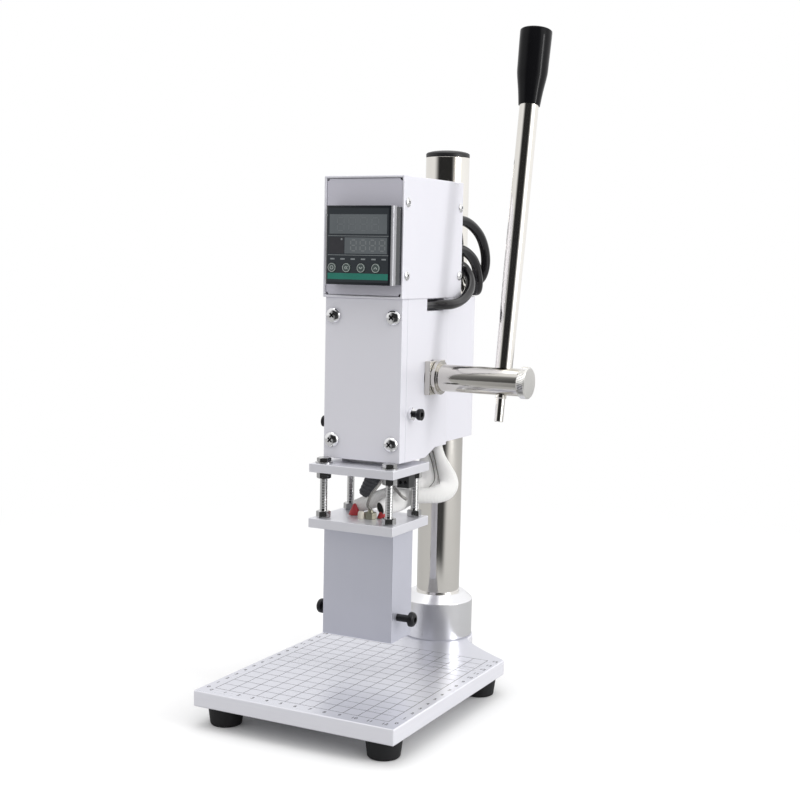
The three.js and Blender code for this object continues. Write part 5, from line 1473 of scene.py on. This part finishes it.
# Guide screws press on the ram from both flanks: a chromed lock nut against the head, a black
# threaded neck and a black socket head.
GUIDE_NUT_MM, GUIDE_NUT_START_MM, GUIDE_NUT_END_MM, GUIDE_NUT_TURN = 4.3, 0.05, 2.3, 12.0
GUIDE_NECK_MM, GUIDE_NECK_START_MM, GUIDE_NECK_STOP_MM = 2.1, 1.5, 2.9
KNOB_FOOT_MM, KNOB_MM, KNOB_TALL_MM, KNOB_EDGE_MM, KNOB_SOCKET_MM = 2.9, 3.6, 3.2, 2.2, 1.9
knob_radius, knob_foot = KNOB_MM * MM, KNOB_FOOT_MM * MM
for hand, sign in (("right", 1), ("left", -1)):
    node = "guide_screw_" + hand
    low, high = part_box(node)
    wall, end = (body_high.x, high.x) if sign > 0 else (body_low.x, low.x)
    long = abs(end - wall)
    centre = (wall, (low.y + high.y) / 2, (low.z + high.z) / 2)
    nut = hexagon(
        "guide_nut_" + hand, GUIDE_NUT_MM * MM, GUIDE_NUT_START_MM * MM, GUIDE_NUT_END_MM * MM,
        math.radians(GUIDE_NUT_TURN),
    )
    fit(placed(nut, centre, (sign, 0, 0)), chrome, "head", node)
    neck_end = long - GUIDE_NECK_STOP_MM * MM
    neck = thread("guide_thread_" + hand, GUIDE_NECK_MM * MM, GUIDE_NECK_START_MM * MM, neck_end)
    fit(placed(neck, centre, (sign, 0, 0)), black_oxide, "head")
    knob_start, knob_edge = long - KNOB_TALL_MM * MM, long - KNOB_EDGE_MM * MM
    knob = socket_head("guide_head_" + hand, [
        (0, knob_start), (knob_foot, knob_start), (knob_radius, knob_edge), (knob_radius, long), (0, long),
    ], KNOB_SOCKET_MM, long)
    fit(placed(knob, centre, (sign, 0, 0)), black_oxide, "head")


# Two black socket screws at the head's back draw the clamp together on the column. Each has its head
# outside and a short shank in the casting.
CLAMP_HEAD_TALL_MM, CLAMP_SHANK_MM, CLAMP_SHANK_LONG_MM, CLAMP_SOCKET_MM = 7.0, 3.5, 3.0, 2.9
for level in ("low", "high"):
    node = "clamp_screw_" + level
    low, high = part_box(node)
    radius = (high.x - low.x) / 2
    centre = ((low.x + high.x) / 2, high.y, (low.z + high.z) / 2)
    shank, head_foot = CLAMP_SHANK_MM * MM, -CLAMP_HEAD_TALL_MM * MM
    shank_end = head_foot - CLAMP_SHANK_LONG_MM * MM
    screw = socket_head("clamp_socket_" + level, [
        (0, shank_end), (shank, shank_end), (shank, head_foot), (radius, head_foot), (radius, 0), (0, 0),
    ], CLAMP_SOCKET_MM, 0.0)
    fit(placed(screw, centre, (0, 1, 0)), black_oxide, "head", node)


# The lever's shaft turns in a nickel plated bearing with a square flange. A ring on the shaft runs
# against the flange, and the lever's rod crosses the shaft through a stepped hole.
BEARING_FLANGE_MM, BEARING_GAP_MM = 4.2, 0.12
SHAFT_MM, JOURNAL_MM, JOURNAL_END_MM = 8.65, 6.0, 15.2
RING_RADIUS_MM, RING_START_MM, RING_WIDE_MM = 10.9, 31.8, 2.4
SHOULDER_MM, SHOULDER_WIDE_MM = 9.7, 0.9
CROSS_HOLE_MM = [
    (0, -20.0), (2.9, -20.0), (2.9, 7.9), (5.6, 7.9), (5.6, 8.3), (6.7, 9.6), (6.7, 20.0), (0, 20.0),
]
LEVER_X_MM, LEVER_TILT = 76.5, 10.0
# The bearing and the shaft get the column's nickel painted darker: painted shade.
nickel_with_painted_shade = Finish("nickel_with_painted_shade", "polished_steel", metallic=1.0)
nickel_with_painted_shade.grained(0.04, (0.62, 0.60, 0.56), (0.70, 0.68, 0.64), (0.07, 0.06))
low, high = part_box("bearing_right")
flange_end = body_high.x + BEARING_FLANGE_MM * MM
bearing = block("bearing_flange", (body_high.x, low.y, low.z), (flange_end, high.y, high.z))
shaft_radius = SHAFT_MM * MM
hole = pin("hole", shaft_radius + BEARING_GAP_MM * MM, 0, 4 * beyond, 64)
cut(bearing, placed(hole, (body_high.x - beyond, pinion_spot.y, pinion_spot.z), (1, 0, 0)))
fit(eased(bearing, 0.5), nickel_with_painted_shade, "head", "bearing_right")
low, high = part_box("lever_shaft")
shaft_long = high.x - low.x
journal, journal_end = JOURNAL_MM * MM, JOURNAL_END_MM * MM
ring_radius, ring_start = RING_RADIUS_MM * MM, spot(RING_START_MM, 0, 0).x - low.x
ring_end = ring_start + RING_WIDE_MM * MM
shoulder, shoulder_end = SHOULDER_MM * MM, ring_end + SHOULDER_WIDE_MM * MM
shaft = turned("shaft", [
    (0, 0), (journal, 0), (journal, journal_end), (shaft_radius, journal_end), (shaft_radius, ring_start),
    (ring_radius, ring_start), (ring_radius, ring_end), (shoulder, ring_end), (shoulder, shoulder_end),
    (shaft_radius, shoulder_end), (shaft_radius, shaft_long), (0, shaft_long),
], 96)
placed(shaft, (low.x, pinion_spot.y, pinion_spot.z), (1, 0, 0))
lean = Vector((0, math.sin(math.radians(LEVER_TILT)), math.cos(math.radians(LEVER_TILT))))
lever_foot = spot(LEVER_X_MM, *PINION_PLACE_MM)
cross_hole = turned("cross_hole", [(radius * MM, up * MM) for radius, up in CROSS_HOLE_MM], 48)
cut(shaft, placed(cross_hole, lever_foot, lean))
fit(eased(shaft, 0.35, 3, 40), nickel_with_painted_shade, "lever", "lever_shaft")


# The knurled cap closes the shaft's end and turns with it. Its knurls cross halfway along, and a
# narrower neck sets it off from the shaft.
KNURLS, KNURL_MM, CAP_EDGE_MM = 60, 0.22, 0.8
NECK_SMALLER_MM, NECK_START_MM, NECK_END_MM = 0.5, -0.4, 0.3
knurl_metal = Finish("knurled_nickel", "plain_steel", metallic=1.0)
knurl_metal.grained(0.05, (0.84, 0.83, 0.80), (0.92, 0.91, 0.88), (0.18, 0.08))
low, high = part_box("end_cap")
cap_radius = (high.z - low.z) / 2
cap_foot = (low.x, pinion_spot.y, pinion_spot.z)
long, edge = high.x - low.x, CAP_EDGE_MM * MM
steps = KNURLS * 2
rows = [(0.0, None), (edge, 0), (long / 2, 1), (long - edge, 0), (long, None)]
corners = []
for height, shift in rows:
    for i in range(steps):
        angle = 2 * math.pi * i / steps
        radius = cap_radius - (edge if shift is None else (i + shift) % 2 * KNURL_MM * MM)
        corners.append((radius * math.cos(angle), radius * math.sin(angle), height))
faces = []
for face in ringed(steps, len(rows)):
    faces += [face] if len(face) > 4 else [face[:3], (face[0], *face[2:])]
knurled = made("knurled_cap", corners, faces)
fit(placed(knurled, cap_foot, (1, 0, 0)), knurl_metal, "lever", "end_cap")
neck_radius = shaft_radius - NECK_SMALLER_MM * MM
neck = pin("cap_neck", neck_radius, NECK_START_MM * MM, NECK_END_MM * MM, 48)
fit(placed(neck, cap_foot, (1, 0, 0)), nickel, "lever")


# The lever's rod passes through the shaft, and its stub shows below. Its grip is turned from a glossy
# black plastic, narrow at its foot and flat at its top.
ROD_SHOULDER_MM, ROD_FOOT_RADIUS_MM = 7.95, 5.5
ROD_TAPER_END_MM, ROD_RADIUS_MM = 90.0, 6.1
STUB_RADIUS_MM, STUB_LONG_MM, STUB_START_MM = 2.8, 25.4, 8.0
GRIP_START_MM, ROD_IN_GRIP_MM = 175.8, 0.5
STUB_RING_MM = [(0, -10.9), (3.0, -10.9), (3.4, -10.4), (3.4, -8.6), (0, -8.6)]
rod = turned("lever_bar", [(radius * MM, along * MM) for radius, along in (
    (0, ROD_SHOULDER_MM), (ROD_FOOT_RADIUS_MM, ROD_SHOULDER_MM), (ROD_RADIUS_MM, ROD_TAPER_END_MM),
    (ROD_RADIUS_MM, GRIP_START_MM + ROD_IN_GRIP_MM), (0, GRIP_START_MM + ROD_IN_GRIP_MM),
)], 96)
fit(placed(rod, lever_foot, lean), nickel, "lever", "lever_rod")
stub = pin("lever_stub", STUB_RADIUS_MM * MM, -STUB_LONG_MM * MM, -STUB_START_MM * MM, 64)
fit(eased(placed(stub, lever_foot, lean), 0.45, 3, 40), nickel, "lever")
stub_ring = turned("lever_stub_ring", [(radius * MM, along * MM) for radius, along in STUB_RING_MM], 48)
fit(eased(placed(stub_ring, lever_foot, lean), 0.12, 2), nickel, "lever")
grip_gloss = Finish("grip_gloss", "black_gloss", specular_ior_level=0.12)
grip_gloss.grained(0.1, (0.005, 0.005, 0.006), (0.008, 0.008, 0.009), (0.09, 0.05))
GRIP_PROFILE_MM = [
    (0, 175.8), (6.3, 175.8), (6.85, 176.0), (7.0, 176.7), (7.35, 180.0), (8.0, 185.2), (8.7, 189.6),
    (9.3, 193.2), (9.7, 196.2), (9.85, 198.4), (9.95, 204.0), (10.1, 211.0), (10.22, 218.0), (10.3, 223.3),
    (10.15, 223.95), (9.8, 224.22), (9.2, 224.38), (8.0, 224.58), (5.0, 224.82), (0, 225.0),
]
grip = turned("lever_handle", [(r * MM, z * MM) for r, z in GRIP_PROFILE_MM], 96)
shaded(grip, 50)
fit(placed(grip, lever_foot, lean), grip_gloss, "lever", "lever_grip")
